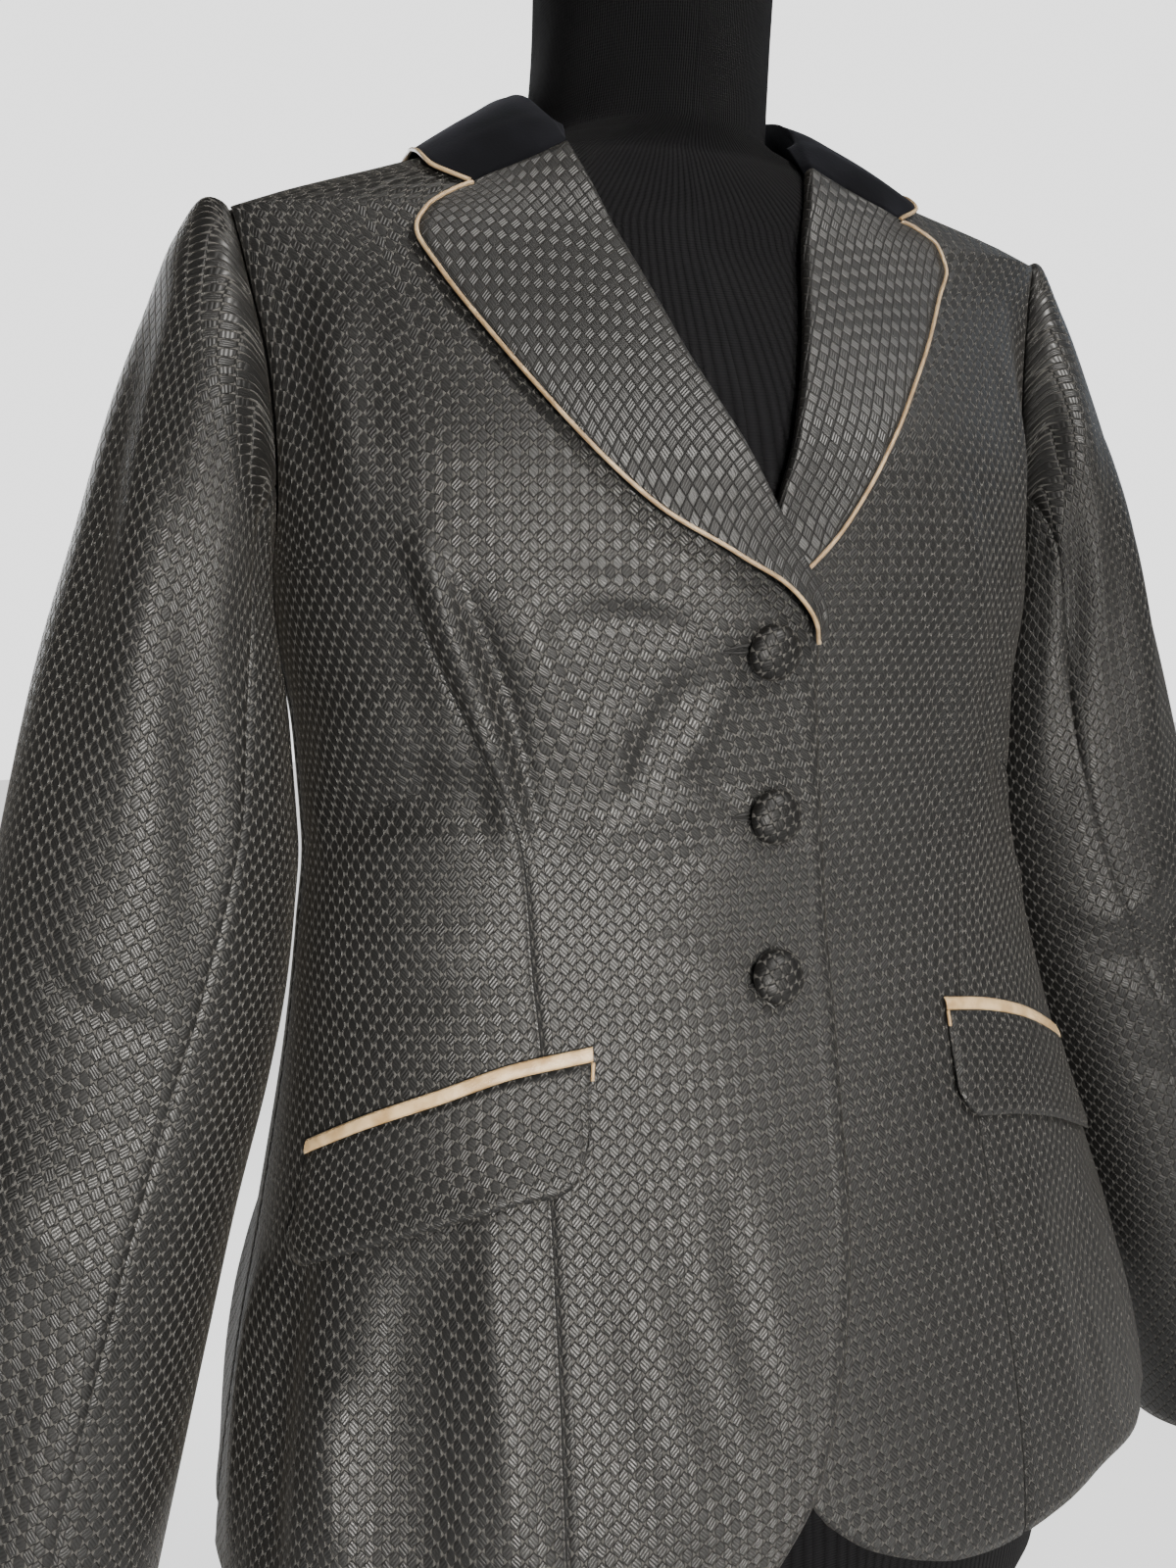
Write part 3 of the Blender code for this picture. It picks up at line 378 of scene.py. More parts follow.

# Creases of the coat's torso: start, middle and end as angle and height,
# then half width and rise in millimetres
# start_angle, start_height, middle_angle, middle_height, end_angle, end_height, half_width, rise
TORSO_CREASES = (
    (-44, 1.226, -37.6, 1.17, -31, 1.085, 10.5, 6.2),
    (-38, 1.212, -32.2, 1.158, -28.5, 1.095, 7, -3.4),
    (-76, 1.104, -56, 1.116, -34, 1.116, 19, -6.8),
    (-52, 1.128, -44, 1.119, -34, 1.104, 14, -4.5),
    (-30, 1.205, -26, 1.165, -22, 1.12, 14, 2.2),
    (-78, 1.135, -60, 1.152, -46, 1.14, 20, 3),
    (-25, 1.186, -15, 1.186, -5.5, 1.18, 10, -2.8),
    (-24, 1.206, -13, 1.198, -6.5, 1.188, 9, 2),
    (-8.2, 1.202, -6.2, 1.192, -3.4, 1.179, 4.8, -2.6),
    (-10.5, 1.198, -8.4, 1.188, -5.6, 1.178, 5, 1.6),
    (-6, 1.164, -10.6, 1.145, -14, 1.116, 10, -4),
    (-3, 1.16, -5.4, 1.146, -8, 1.124, 8, 2.6),
    (-8, 1.129, -5, 1.119, -2.2, 1.109, 9, -3.4),
    (-20, 1.15, -17, 1.136, -19, 1.112, 11, 2.6),
    (-23, 1.092, -14, 1.106, -3, 1.104, 12, 1.7),
    (-20, 1.073, -11, 1.083, -3, 1.092, 11, -1.4),
    (-18, 1.055, -10, 1.048, -3, 1.036, 11, 1.2),
    (-62, 1.075, -48, 1.058, -34, 1.06, 13, 2),
    (-70, 1.052, -55, 1.038, -42, 1.036, 10, -1.4),
    (-36, 0.96, -34.5, 0.893, -29, 0.788, 17, 5.5),
    (-46, 0.935, -46, 0.882, -41, 0.792, 21, -6.4),
    (-58, 0.89, -56, 0.85, -51, 0.785, 15, 5.8),
    (-69, 0.93, -70, 0.88, -66, 0.795, 20, -6.2),
    (-82, 0.92, -83, 0.87, -80, 0.79, 16, 3.6),
    (-19, 0.95, -17, 0.88, -13, 0.82, 22, 3),
    (-7, 0.96, -7.5, 0.905, -5, 0.85, 14, -2.2),
    (-63, 1.345, -66, 1.3, -62, 1.24, 18, -2.8),
    (-52, 1.33, -56, 1.28, -53, 1.235, 16, 2.2),
    (60, 1.345, 66, 1.3, 64, 1.235, 18, -3),
    (50, 1.32, 54, 1.27, 52, 1.22, 16, 2.2),
    (26, 1.25, 33, 1.19, 33, 1.12, 18, 3),
    (24, 1.17, 27, 1.125, 25, 1.07, 13, -1.6),
    (44, 1.15, 52, 1.1, 62, 1.07, 14, -2.6),
    (50, 1.085, 58, 1.06, 68, 1.052, 11, 2),
    (30, 0.93, 32, 0.88, 30, 0.8, 18, 2.8),
    (41, 0.92, 43, 0.86, 42, 0.795, 18, -3.4),
    (55, 0.9, 58, 0.85, 57, 0.79, 16, 3.6),
    (100, 1.12, 112, 1.1, 124, 1.104, 14, -2.4),
    (-101, 1.112, -112, 1.093, -122, 1.099, 13, -2.2),
    (132, 1.128, 150, 1.118, 166, 1.126, 16, -1.8),
    (-136, 1.121, -150, 1.109, -164, 1.115, 15, -1.4),
    (138, 1.09, 152, 1.083, 164, 1.09, 13, 2),
    (-140, 1.086, -154, 1.079, -169, 1.088, 14, 1.8),
    (132, 1.33, 148, 1.29, 158, 1.24, 20, -2.2),
    (-130, 1.328, -146, 1.286, -160, 1.23, 19, -2.4),
    (108, 0.93, 110, 0.87, 108, 0.8, 17, 3.4),
    (-107, 0.925, -110, 0.86, -109, 0.8, 18, 3.6),
    (143, 0.95, 146, 0.88, 147, 0.8, 19, 3.2),
    (-141, 0.945, -146, 0.87, -145, 0.798, 18, 3.4),
    (166, 0.93, 168, 0.87, 167, 0.8, 16, -2.2),
    (-164, 0.92, -167, 0.86, -168, 0.8, 17, -2.4),
)

# Creases of each sleeve, in the same way, as rings and angles
# start_ring, start_angle, middle_ring, middle_angle, end_ring, end_angle, half_width, rise
SLEEVE_CREASES = {RIGHT: (
    (2.6, 62, 3.9, 90, 8.6, 132, 18, 3),
    (3.4, 72, 5.4, 96, 8.2, 112, 17, -3),
    (3.8, 44, 5.6, 70, 7.6, 92, 18, 2.6),
    (2.4, 20, 4.6, 34, 7.2, 44, 18, -2.6),
    (1.2, 118, 2.6, 126, 4.8, 138, 12, -3),
    (7.8, 50, 8.3, 78, 8.4, 112, 10, -4.4),
    (8.5, 44, 8.8, 70, 8.7, 100, 9, 3.8),
    (8.9, 62, 9.3, 88, 9.1, 122, 10, -3.6),
    (9.6, 50, 9.8, 76, 10.3, 108, 11, 3),
    (10.3, 96, 11.5, 88, 13.5, 84, 14, -2.2),
    (9.6, 118, 10.6, 116, 12.8, 112, 12, 2),
    (7.4, 200, 7.9, 232, 8.4, 262, 14, 2.4),
    (4, 236, 5.5, 248, 7.5, 252, 16, -2.4),
    (1.5, 262, 3.2, 250, 5.2, 232, 16, -2.8),
    (9.6, 222, 11, 236, 13, 246, 15, 2),
    (2, 300, 4, 306, 6.5, 300, 20, 2.2),
), LEFT: (
    (1.4, 70, 3.2, 92, 6.2, 116, 15, 3.4),
    (2.2, 92, 4.2, 112, 7, 132, 13, -4),
    (3.6, 54, 5.6, 74, 8, 92, 16, 2.8),
    (1.3, 120, 2.8, 130, 5, 142, 12, -2.6),
    (7.9, 92, 8.4, 116, 8.2, 146, 9, 3.6),
    (8.4, 84, 8.9, 112, 8.8, 148, 9, -4),
    (9.2, 74, 9.5, 104, 9.2, 138, 10, 3),
    (9.8, 90, 10.2, 116, 9.9, 142, 10, -2.6),
    (10.4, 70, 11.6, 84, 13.4, 92, 14, -2),
    (7.2, 206, 7.8, 236, 8.2, 266, 14, 2.6),
    (4.2, 232, 5.6, 244, 7.2, 250, 16, -2.2),
    (1.4, 258, 3, 248, 5, 236, 16, -3),
    (9.8, 226, 11.2, 238, 13.2, 242, 15, 1.8),
    (2.2, 304, 4.2, 300, 6.2, 308, 20, 2),
)}
CREASE_STEPS = 14
CREASE_FADE = 0.7
MILLIMETRES = 1000

# Short bust dart of the right front, side to tip, and the same on the left: x, height
BUST_DART = {
    RIGHT: ((-0.1843, 1.0987), (-0.1608, 1.1131), (-0.1394, 1.1215)),
    LEFT: ((0.184, 1.1), (0.162, 1.111), (0.144, 1.118)),
}

# Shell, seams, and the dark line of painted shade in the bust dart
SHELL = 0.0014
SEAM_DIP = 0.0012
SEAM_HALF = 0.0013
PUCKER = 0.00016
PUCKER_WAVE = 0.011
PUCKER_BEAT = 3.7
PUCKER_REACH = 0.01
DART_SHADE_RADIUS = 0.00036

# Camera fitted to the photo
CAMERA_PLACE = (-0.2619, -0.6033, 1.1569)
# Turned to the side, tilted up from straight down, rolled
CAMERA_TURNS = ((-20, "Z"), (86.19, "X"), (-2.84, "Z"))
FOCAL_PIXELS = 1338.97
PHOTO_HEIGHT = 1600
SENSOR = 36

# Light and floor
WORLD_STRENGTH = 0.12
BACKDROP_STRENGTH = 2.2
FLOOR_GLOW = 1.1
FLOOR_FILL = 0.25
FLOOR_SIDES = 96
FLOOR_RINGS = (0.001, 1, 3, 8, 30)
# Lights: name, place, target, size, spread in degrees, watts, colour
LIGHTS = (
    ("key", (0.95, -2.05, 3), (0, 0, 1.08), 0.4, 180, 80, (1, 0.97, 0.92)),
    ("front", (-0.5, -3, 0.92), (-0.2, 0, 1.02), 0.8, 28, 5.4, (1, 0.96, 0.89)),
    ("sky", (2, 0.6, 2.2), (0.1, 0, 1.1), 1.4, 180, 5, (0.7, 0.83, 1)),
    ("back", (-0.8, 2.9, 2.2), (0, 0, 1.1), 1.8, 180, 60, (0.96, 0.98, 1)),
)

# Weave: side of one basket block, its extra height on the body, and floats across it
BLOCK = 0.0048
BLOCK_TALLER = 1.1
FLOATS = 4
# How much its lines wander, and the cloudy tone: scale, detail, then from, to, dark, light
WANDER_SCALE = 70
WANDER = 0.22
CLOUD = (9, 3)
CLOUD_TONE = (0.3, 0.7, 0.85, 1.15)

# The form's own finishes, and each material by its name
FORM_FINISH = (("form_cap", "lacquered_wood"), ("form_pole", "black_paint"), ("form_base", "black_paint"))
MATERIAL = {}


# Torso, sleeve, lapel and collar surfaces, as the solids have them

def smooth(table, at):
    """Monotone cubic through a table's rows, keyed by the first column."""
    rows = np.array(table, float)
    key, value = rows[:, 0], rows[:, 1:]
    at = np.clip(np.asarray(at, float), key[0], key[-1])
    step = np.diff(key)[:, None]
    slope = np.diff(value, axis=0) / step
    turns = slope[:-1] * slope[1:] <= 0
    before, after = np.where(turns, 1.0, (slope[:-1], slope[1:]))
    weight_before, weight_after = 2 * step[1:] + step[:-1], step[1:] + 2 * step[:-1]
    mean = (weight_before + weight_after) / (weight_before / before + weight_after / after)
    tangent = np.concatenate([slope[:1], np.where(turns, 0.0, mean), slope[-1:]])
    i = np.clip(np.searchsorted(key, at, side="right") - 1, 0, len(key) - 2)
    span = step[i]
    s = (at - key[i])[..., None] / span
    return ((1 + 2 * s) * (1 - s) ** 2 * value[i] + s * (1 - s) ** 2 * span * tangent[i]
            + s * s * (3 - 2 * s) * value[i + 1] + s * s * (s - 1) * span * tangent[i + 1])


def numbered(rows):
    """A table keyed by the numbers of its rows."""
    return np.column_stack([np.arange(len(rows)), rows])


def ramp(value, low, high):
    """0 below low, 1 above high, with a smooth rise between."""
    s = np.clip((value - low) / (high - low), 0, 1)
    return s * s * (3 - 2 * s)


def bell(distance):
    """1 at the middle of a fold, 0 from its edge outwards."""
    return np.where(np.abs(distance) < 1, 0.5 + 0.5 * np.cos(np.pi * np.clip(distance, -1, 1)), 0)


def dent(distance, half_width):
    """1 on a line, falling off smoothly beside it."""
    return np.exp(-(distance / half_width) ** 2)


def unit(vectors):
    return vectors / np.maximum(np.linalg.norm(vectors, axis=-1, keepdims=True), 1e-12)


def body(angle, height):
    """Point of the coat's torso surface, without folds."""
    angle, height = np.broadcast_arrays(np.asarray(angle, float), np.asarray(height, float))
    half_width, centre, front, back, front_square, back_square = np.moveaxis(smooth(SECTIONS, height), -1, 0)
    sine, cosine = np.sin(np.radians(angle)), np.cos(np.radians(angle))
    square = np.where(cosine >= 0, front_square, back_square)
    depth = np.where(cosine >= 0, front, back)
    x = half_width * np.sign(sine) * np.abs(sine) ** (2 / square)
    y = centre - depth * np.sign(cosine) * np.abs(cosine) ** (2 / square)
    return np.stack([x, y, height], -1)


def outward(angle, height):
    """Unit normal of the torso surface."""
    along = body(angle + TURN_STEP, height) - body(angle - TURN_STEP, height)
    up = body(angle, height + HEIGHT_STEP) - body(angle, height - HEIGHT_STEP)
    return unit(np.cross(along, up))


def on_coat(angle, height, lift=0.0):
    """Point at a distance outside the coat's torso surface, folds included."""
    angle, height = np.asarray(angle, float), np.asarray(height, float)
    for middle, level, half_angle, half_height, rise in FOLDS:
        lift = lift + rise * bell((angle - middle) / half_angle) * bell((height - level) / half_height)
    return body(angle, height) + outward(angle, height) * np.asarray(lift)[..., None]


def front_angle(x, height):
    """Angle of the front point that lies at x."""
    section = smooth(SECTIONS, height)
    share = np.clip(np.abs(x) / section[..., 0], 0, 1)
    return np.sign(x) * np.degrees(np.arcsin(share ** (section[..., 4] / 2)))


def front_lift(side, angle, height):
    """How far a front stands out: the right one laps over the left front and lapel."""
    if side == LEFT:
        return 0.0
    x = body(angle, height)[..., 0]
    over_lapel_end = ramp(height, *LAPEL_STEP_START) * (1 - ramp(height, *LAPEL_STEP_END))
    return OVERLAP_LIFT * ramp(x, *OVERLAP_X) + LAPEL_STEP * ramp(x, *LAPEL_STEP_X) * over_lapel_end


def on_front(side, x, height, lift=0.0):
    angle = front_angle(x, height)
    return on_coat(angle, height, lift + front_lift(side, angle, height))


def front_normals(points):
    """Outward directions at points on a front."""
    return outward(front_angle(points[:, 0], points[:, 2]), points[:, 2])


def armhole_share(height):
    """How far the armhole's edge stands from the side at a height, 1 at the most."""
    return np.sqrt(1 - np.clip((height - ARMHOLE_HEIGHT) / ARMHOLE_RISE, -1, 1) ** 2)


def above_hem(rows, hem):
    """Row heights with the part below HEM_REACH stretched down or up to a hem."""
    share = (HEM_REACH - hem) / (HEM_REACH - HEM)
    return np.where(rows < HEM_REACH, HEM_REACH - (HEM_REACH - rows) * share, rows)


def back_hem(angle):
    return HEM_LINE[LEFT][-1][1] - BACK_HEM_DROP * ramp(np.abs(angle), 90, 180)


def sleeve_ring(row, angle):
    """Point of an oval ring: 0 outside, 90 front, 180 inside."""
    outer_x, outer_z, inner_x, inner_z, centre_y, half_depth, twist = np.moveaxis(row, -1, 0)
    turned = np.radians(angle - twist)
    x = (outer_x + inner_x) / 2 + (outer_x - inner_x) / 2 * np.cos(turned)
    z = (outer_z + inner_z) / 2 + (outer_z - inner_z) / 2 * np.cos(turned)
    return np.stack([x, centre_y - half_depth * np.sin(turned), z], -1)


def sleeve_surface(side, ring, angle):
    """Point of a sleeve at a ring number and an angle, with its cap brought to the armhole."""
    cap = np.radians(angle)
    spread = np.where(np.sin(cap) > 0, ARMHOLE_FRONT, ARMHOLE_BACK)
    hole = on_coat(90 - spread * np.sin(cap), ARMHOLE_HEIGHT + ARMHOLE_RISE * np.cos(cap), SEAM)
    shift = hole + (SEAM, 0, 0) - sleeve_ring(np.array(SLEEVE[0]), angle)
    point = sleeve_ring(smooth(numbered(SLEEVE), ring), angle)
    return (point + shift * (1 - ramp(ring, 0, CAP_FADE))[..., None]) * (side, 1, 1)


def sleeve_grid(side, rings, angles):
    """Outer points of a sleeve and their unit normals."""
    ring, angle = np.meshgrid(rings, angles)
    lower, upper = (np.clip(ring + step, 0, len(SLEEVE) - 1) for step in (-RING_STEP, RING_STEP))
    along = sleeve_surface(side, upper, angle) - sleeve_surface(side, lower, angle)
    around = sleeve_surface(side, ring, angle + 1) - sleeve_surface(side, ring, angle - 1)
    normals = unit(np.cross(around, along)) * side
    normals[:, 0] = normals[:, 1]
    rise = 0.0
    for middle, centre, half_rings, half_angle, amount in SLEEVE_FOLDS:
        turn = (angle - centre + 180) % 360 - 180
        rise = rise + amount * bell((ring - middle) / half_rings) * bell(turn / half_angle)
    return sleeve_surface(side, ring, angle) + normals * rise[..., None], normals


def lapel_row(side, row, shift=0.0):
    """Points across the top of a lapel at one row of its table."""
    roll, edge = np.split(np.array(LAPEL[side][row]), 2)
    width = np.linalg.norm(edge - roll)
    across = (edge - roll) / width
    roll = roll + np.array([across[1], -across[0]]) * side * -shift
    places = [roll + across * (share * (width + ROLL_OUT) - ROLL_OUT) for share, _ in LAPEL_PROFILE]
    return np.array([on_front(side, *place, row[1]) for place, row in zip(places, LAPEL_PROFILE)])


def collar_row(side, row):
    """Points across the collar: stand from its base, crease, then the fall."""
    base_angle, base_z, crease_x, crease_y, crease_z, edge_angle, edge_z = smooth(numbered(COLLAR), row)
    base = on_coat(side * base_angle, base_z)
    crease = np.array([side * crease_x, crease_y, crease_z])
    edge = on_coat(side * edge_angle, edge_z, COLLAR_LIFT)
    away = unit(crease * (1, 1, 0))
    points = [base, base + (crease - base) * STAND_SHARE - away * CREASE_HALF / 2, crease]
    for share, _ in LAPEL_PROFILE[3:]:
        bulge = CREASE_HALF * (1 - share) + FALL_BULGE * math.sin(math.pi * share)
        points.append(crease + (edge - crease) * share + (away + (0, 0, FALL_RISE)) * bulge)
    return np.array(points)


# Creases, seams and flat lengths

def path_distance(points, path):
    """Distance of each point to a polyline, and where along it (0 to 1) the nearest place is."""
    nearest = np.full(points.shape[:-1], 1e9)
    along = np.zeros(points.shape[:-1])
    for number, (first, second) in enumerate(zip(path, path[1:])):
        leg = second - first
        s = np.clip((points - first) @ leg / max(leg @ leg, 1e-12), 0, 1)
        distance = np.linalg.norm(points - first - s[..., None] * leg, axis=-1)
        closer = distance < nearest
        nearest[closer] = distance[closer]
        along[closer] = (number + s[closer]) / (len(path) - 1)
    return nearest, along


def crease_rise(points, rows, surface):
    """Rise at each point from a table of creases whose bent paths lie on a surface."""
    total = np.zeros(points.shape[:-1])
    s = np.linspace(0, 1, CREASE_STEPS)[:, None]
    for *places, half_width, rise in rows:
        start, middle, end = np.reshape(places, (3, 1, 2))
        bend = 2 * middle - (start + end) / 2
        path = surface(*((1 - s) ** 2 * start + 2 * s * (1 - s) * bend + s * s * end).T)
        distance, along = path_distance(points, path)
        fade = np.sin(np.pi * along) ** CREASE_FADE
        total += rise / MILLIMETRES * fade * bell(distance * MILLIMETRES / half_width)
    return total


def torso_creases(points):
    rise = crease_rise(points, TORSO_CREASES, on_coat)
    return np.where(rise < 0, DEEPEST_CREASE * np.tanh(rise / DEEPEST_CREASE), rise)


def seam_relief(distance, along):
    """Dip at a seam with the slight pucker that sewing leaves beside it."""
    turn = 2 * np.pi * along / PUCKER_WAVE
    wave = np.sin(turn) * np.sin(turn / PUCKER_BEAT)
    return PUCKER * wave * dent(distance, PUCKER_REACH) - SEAM_DIP * dent(distance, SEAM_HALF)


def lengths(points, axis):
    """Length from a grid's first column (axis 0) or first row (axis 1) to each of its points."""
    steps = np.linalg.norm(np.diff(points, axis=axis), axis=-1)
    return np.insert(np.cumsum(steps, axis), 0, 0, axis)


def spots(points, middle_column=0, base_row=0):
    """Place of each grid point on the flat cloth, from lengths along and across the grid."""
    u, v = lengths(points, 0), lengths(points, 1)
    return np.stack([u - u[middle_column], v - v[:, [base_row]]], -1)


def refine(points, column_parts, row_parts):
    """Finer grid through a coarse one, smooth both ways."""
    for parts in (column_parts, row_parts):
        count = len(points)
        at = np.linspace(0, count - 1, (count - 1) * parts + 1)
        fine = smooth(numbered(points.reshape(count, -1)), at)
        points = fine.reshape(len(at), -1, 3).transpose(1, 0, 2)
    return points


def edged(count, near=EDGE_NEAR):
    """Shares from 0 to 1 with extra ones close to both ends, for the seams."""
    inner = np.linspace(near[-1] * 2, 1 - near[-1] * 2, count)
    return np.concatenate([[0], near, inner, 1 - np.array(near)[::-1], [1]])


# Pieces

def add_object(name, data):
    obj = bpy.data.objects.new(name, data)
    bpy.context.scene.collection.objects.link(obj)
    return obj


def finish_piece(obj, material, replaced):
    """Gives a piece its material, ties it to the root part and hides the solids it stands for."""
    obj.data.materials.append(MATERIAL[material])
    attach(obj, "root")
    for node in replaced:
        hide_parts(node)


def bare_grid(name, points, uv=None, closed=False):
    """Object with quads on a point grid, and UVs if they are given."""
    mesh = bpy.data.meshes.new(name)
    index = np.arange(points[..., 0].size).reshape(points.shape[:2])
    if closed:
        index = np.concatenate([index, index[:1]])
    faces = np.stack([index[:-1, :-1], index[1:, :-1], index[1:, 1:], index[:-1, 1:]], -1).reshape(-1, 4)
    mesh.from_pydata(points.reshape(-1, 3).tolist(), [], faces.tolist())
    if uv is not None:
        layer = mesh.uv_layers.new(name="cloth")
        layer.uv.foreach_set("vector", uv.reshape(-1, 2)[faces.reshape(-1)].reshape(-1))
    mesh.shade_smooth()
    return add_object(name, mesh)


def shell(name, points, uv, material, replaced=(), wall=0.0, flip=False, closed=False):
    """Thin shell on a point grid, outer side first, with its flat cloth places as UVs."""
    if flip:
        points, uv = points[::-1], uv[::-1]
    obj = bare_grid(name, points, uv, closed)
    if wall:
        solid = obj.modifiers.new("wall", "SOLIDIFY")
        solid.thickness = wall
        solid.offset = -1
        solid.use_even_offset = False
    finish_piece(obj, material, replaced)
    return obj


def cloth(node, points, uv, material, wall=SHELL, flip=False):
    """Shell of one piece of cloth."""
    obj = shell("cloth_" + node, points, uv, material, (node,), wall, flip)
    across, length = lengths(points, 0)[-1].max(), lengths(points, 1)[:, -1].max()


def tube(name, path, radius, material="painted_seam_shade", replaced=(), resolution=1, shares=None):
    """A round cord, thread, or dark line of painted seam shade through some points, thicker or thinner by the
    shares.
    """
    curve = bpy.data.curves.new(name, "CURVE")
    curve.dimensions = "3D"
    curve.bevel_depth = radius
    curve.bevel_resolution = resolution
    curve.use_fill_caps = True
    spline = curve.splines.new("POLY")
    spline.points.add(len(path) - 1)
    for point, place, share in zip(spline.points, path, np.ones(len(path)) if shares is None else shares):
        point.co = (*place, 1)
        point.radius = share
    finish_piece(add_object(name, curve), material, replaced)


def edge_piping(name, points, node):
    """Corded satin edge just outside a shell's last column."""
    path = points[-1] + unit(points[-1] - points[-2]) * PIPING_OFFSET
    tube(name, path, PIPING_FINE_RADIUS, "satin_piping", (node,), ROUND)


# Materials

class Paint:
    """A material, kept by its name, with short ways to add and link its nodes."""

    def __init__(self, name, **constants):
        MATERIAL[name] = bpy.data.materials.new(name)
        MATERIAL[name].use_nodes = True
        self.tree = MATERIAL[name].node_tree
        self.look(**constants)

    def look(self, **values):
        """Sets or links inputs of the shader."""
        for name, value in values.items():
            self.feed(self.tree.nodes["Principled BSDF"].inputs[name.replace("_", " ")], value)

    def feed(self, socket, value):
        """Links a node's output or sets a constant; colours come without alpha."""
        if isinstance(value, bpy.types.NodeSocket):
            self.tree.links.new(value, socket)
        else:
            socket.default_value = (*value, 1) if socket.type == "RGBA" else value

    def node(self, kind, inputs=(), **settings):
        """Outputs of a new node whose inputs are given by name or number."""
        node = self.tree.nodes.new("ShaderNode" + kind)
        for key, value in settings.items():
            setattr(node, key, value)
        for key, value in dict(inputs).items():
            self.feed(node.inputs[key], value)
        return node.outputs

    def math(self, operation, *values):
        return self.node("Math", enumerate(values), operation=operation)[0]

    def blend(self, factor, first, second):
        """first where factor is 0, second where it is 1, for colours."""
        return self.node("Mix", {"Factor": factor, "A": first, "B": second}, data_type="RGBA")["Result"]

    def span(self, *values, kind="SMOOTHSTEP"):
        """A value from low to high, as 0 to 1 or as two other numbers."""
        return self.node("MapRange", enumerate(values), interpolation_type=kind)[0]

    def noise(self, vector, scale, detail=2):
        return self.node("TexNoise", {"Vector": vector, "Scale": scale, "Detail": detail})["Fac"]

    def cloth_place(self):
        return self.node("UVMap", uv_map="cloth")[0]

    def object_place(self):
        return self.node("TexCoord")["Object"]

    def bump(self, height, distance, strength=1.0):
        bump = self.node("Bump", {"Distance": distance, "Strength": strength, "Height": height})
        self.look(Normal=bump[0])


def jacquard(name, degrees, taller=1.0, corners=CORNER_FROM, rise=WEAVE_BUMP, gloss=BODY_GLOSS):
    """Black basket weave of satin floats: rounded blocks with a matt ground showing at their corners."""
    paint = Paint(name, Specular_IOR_Level=gloss, Sheen_Weight=0.04, Sheen_Roughness=0.45,
                  Sheen_Tint=(0.8, 0.72, 0.6))
    calc = paint.math
    place = paint.cloth_place()
    turned = paint.node("Mapping", {
        "Vector": place,
        "Rotation": (0, 0, math.radians(degrees)),
        "Scale": (1 / BLOCK, 1 / (BLOCK * taller), 1 / BLOCK),
    })
    grid = paint.node("SeparateXYZ", {0: turned[0]})
    wobble = calc("MULTIPLY", calc("SUBTRACT", paint.noise(place, WANDER_SCALE), 0.5), WANDER)
    first = calc("ADD", grid[0], wobble)
    second = calc("SUBTRACT", grid[1], wobble)
    cells = calc("ADD", calc("FLOOR", first), calc("FLOOR", second))
    odd = calc("MULTIPLY", calc("FRACT", calc("MULTIPLY", cells, 0.5)), 2)
    in_first = calc("MULTIPLY_ADD", calc("FRACT", first), 2, -1)
    in_second = calc("MULTIPLY_ADD", calc("FRACT", second), 2, -1)
    swap = calc("MULTIPLY", calc("SUBTRACT", in_second, in_first), odd)
    along = calc("ADD", in_first, swap)
    across = calc("SUBTRACT", in_second, swap)
    ridge = calc("ABSOLUTE", calc("COSINE", calc("MULTIPLY", across, math.pi * FLOATS / 2)))
    sideways = calc("ABSOLUTE", calc("MULTIPLY", calc("ADD", along, across), 0.5))
    corner = paint.span(sideways, *corners)
    out = calc("MAXIMUM", calc("ABSOLUTE", along), calc("ABSOLUTE", across))
    ground = calc("MAXIMUM", corner, paint.span(out, *LINE_FROM))
    crown = calc("MULTIPLY_ADD", calc("POWER", out, 2), -CROWN_FALL, 1)
    floats = calc("MULTIPLY_ADD", ridge, FLOAT_RISE, crown)
    cloud = paint.span(paint.noise(place, *CLOUD), *CLOUD_TONE, kind="LINEAR")
    # Each float darker towards the grooves beside it, following its bump: painted shade
    block = paint.blend(ridge, GROOVE_SHADE_COLOUR, FLOAT_COLOUR)
    gap = paint.blend(corner, LINE_COLOUR, CORNER_COLOUR)
    tone = paint.node("HueSaturation", {"Value": cloud, "Color": paint.blend(ground, block, gap)})
    shine = paint.span(ridge, 0, 0.8, GROOVE_ROUGHNESS, FLOAT_ROUGHNESS)
    paint.look(Base_Color=tone[0], Roughness=calc("MAXIMUM", shine, ground))
    paint.bump(calc("MULTIPLY", floats, calc("SUBTRACT", 1, ground)), rise)


def velvet():
    paint = Paint("velvet_pile", Roughness=0.95, Specular_IOR_Level=0.1, Sheen_Weight=0.1,
                  Sheen_Roughness=0.4, Sheen_Tint=(0.4, 0.42, 0.5))
    place = paint.object_place()
    nap = paint.span(paint.noise(place, 26, 3), 0.35, 0.7)
    paint.look(Base_Color=paint.blend(nap, (0.0034, 0.0036, 0.0048), (0.0096, 0.01, 0.0132)))
    paint.bump(paint.noise(place, 900), 0.0003, 0.6)


def satin(name, wrinkle, dark, light):
    paint = Paint(name, Specular_IOR_Level=0.6, Sheen_Weight=0.15, Sheen_Roughness=0.3,
                  Sheen_Tint=(1, 0.92, 0.8))
    place = paint.object_place()
    cloud = paint.noise(place, 95, 3)
    paint.look(Base_Color=paint.blend(paint.span(cloud, 0.3, 0.7), dark, light),
               Roughness=paint.span(cloud, 0.2, 0.8, 0.3, 0.42, kind="LINEAR"))
    threads = paint.noise(place, 2200, 1)
    paint.bump(paint.math("MULTIPLY_ADD", threads, 0.25, paint.noise(place, wrinkle)), 0.0006)


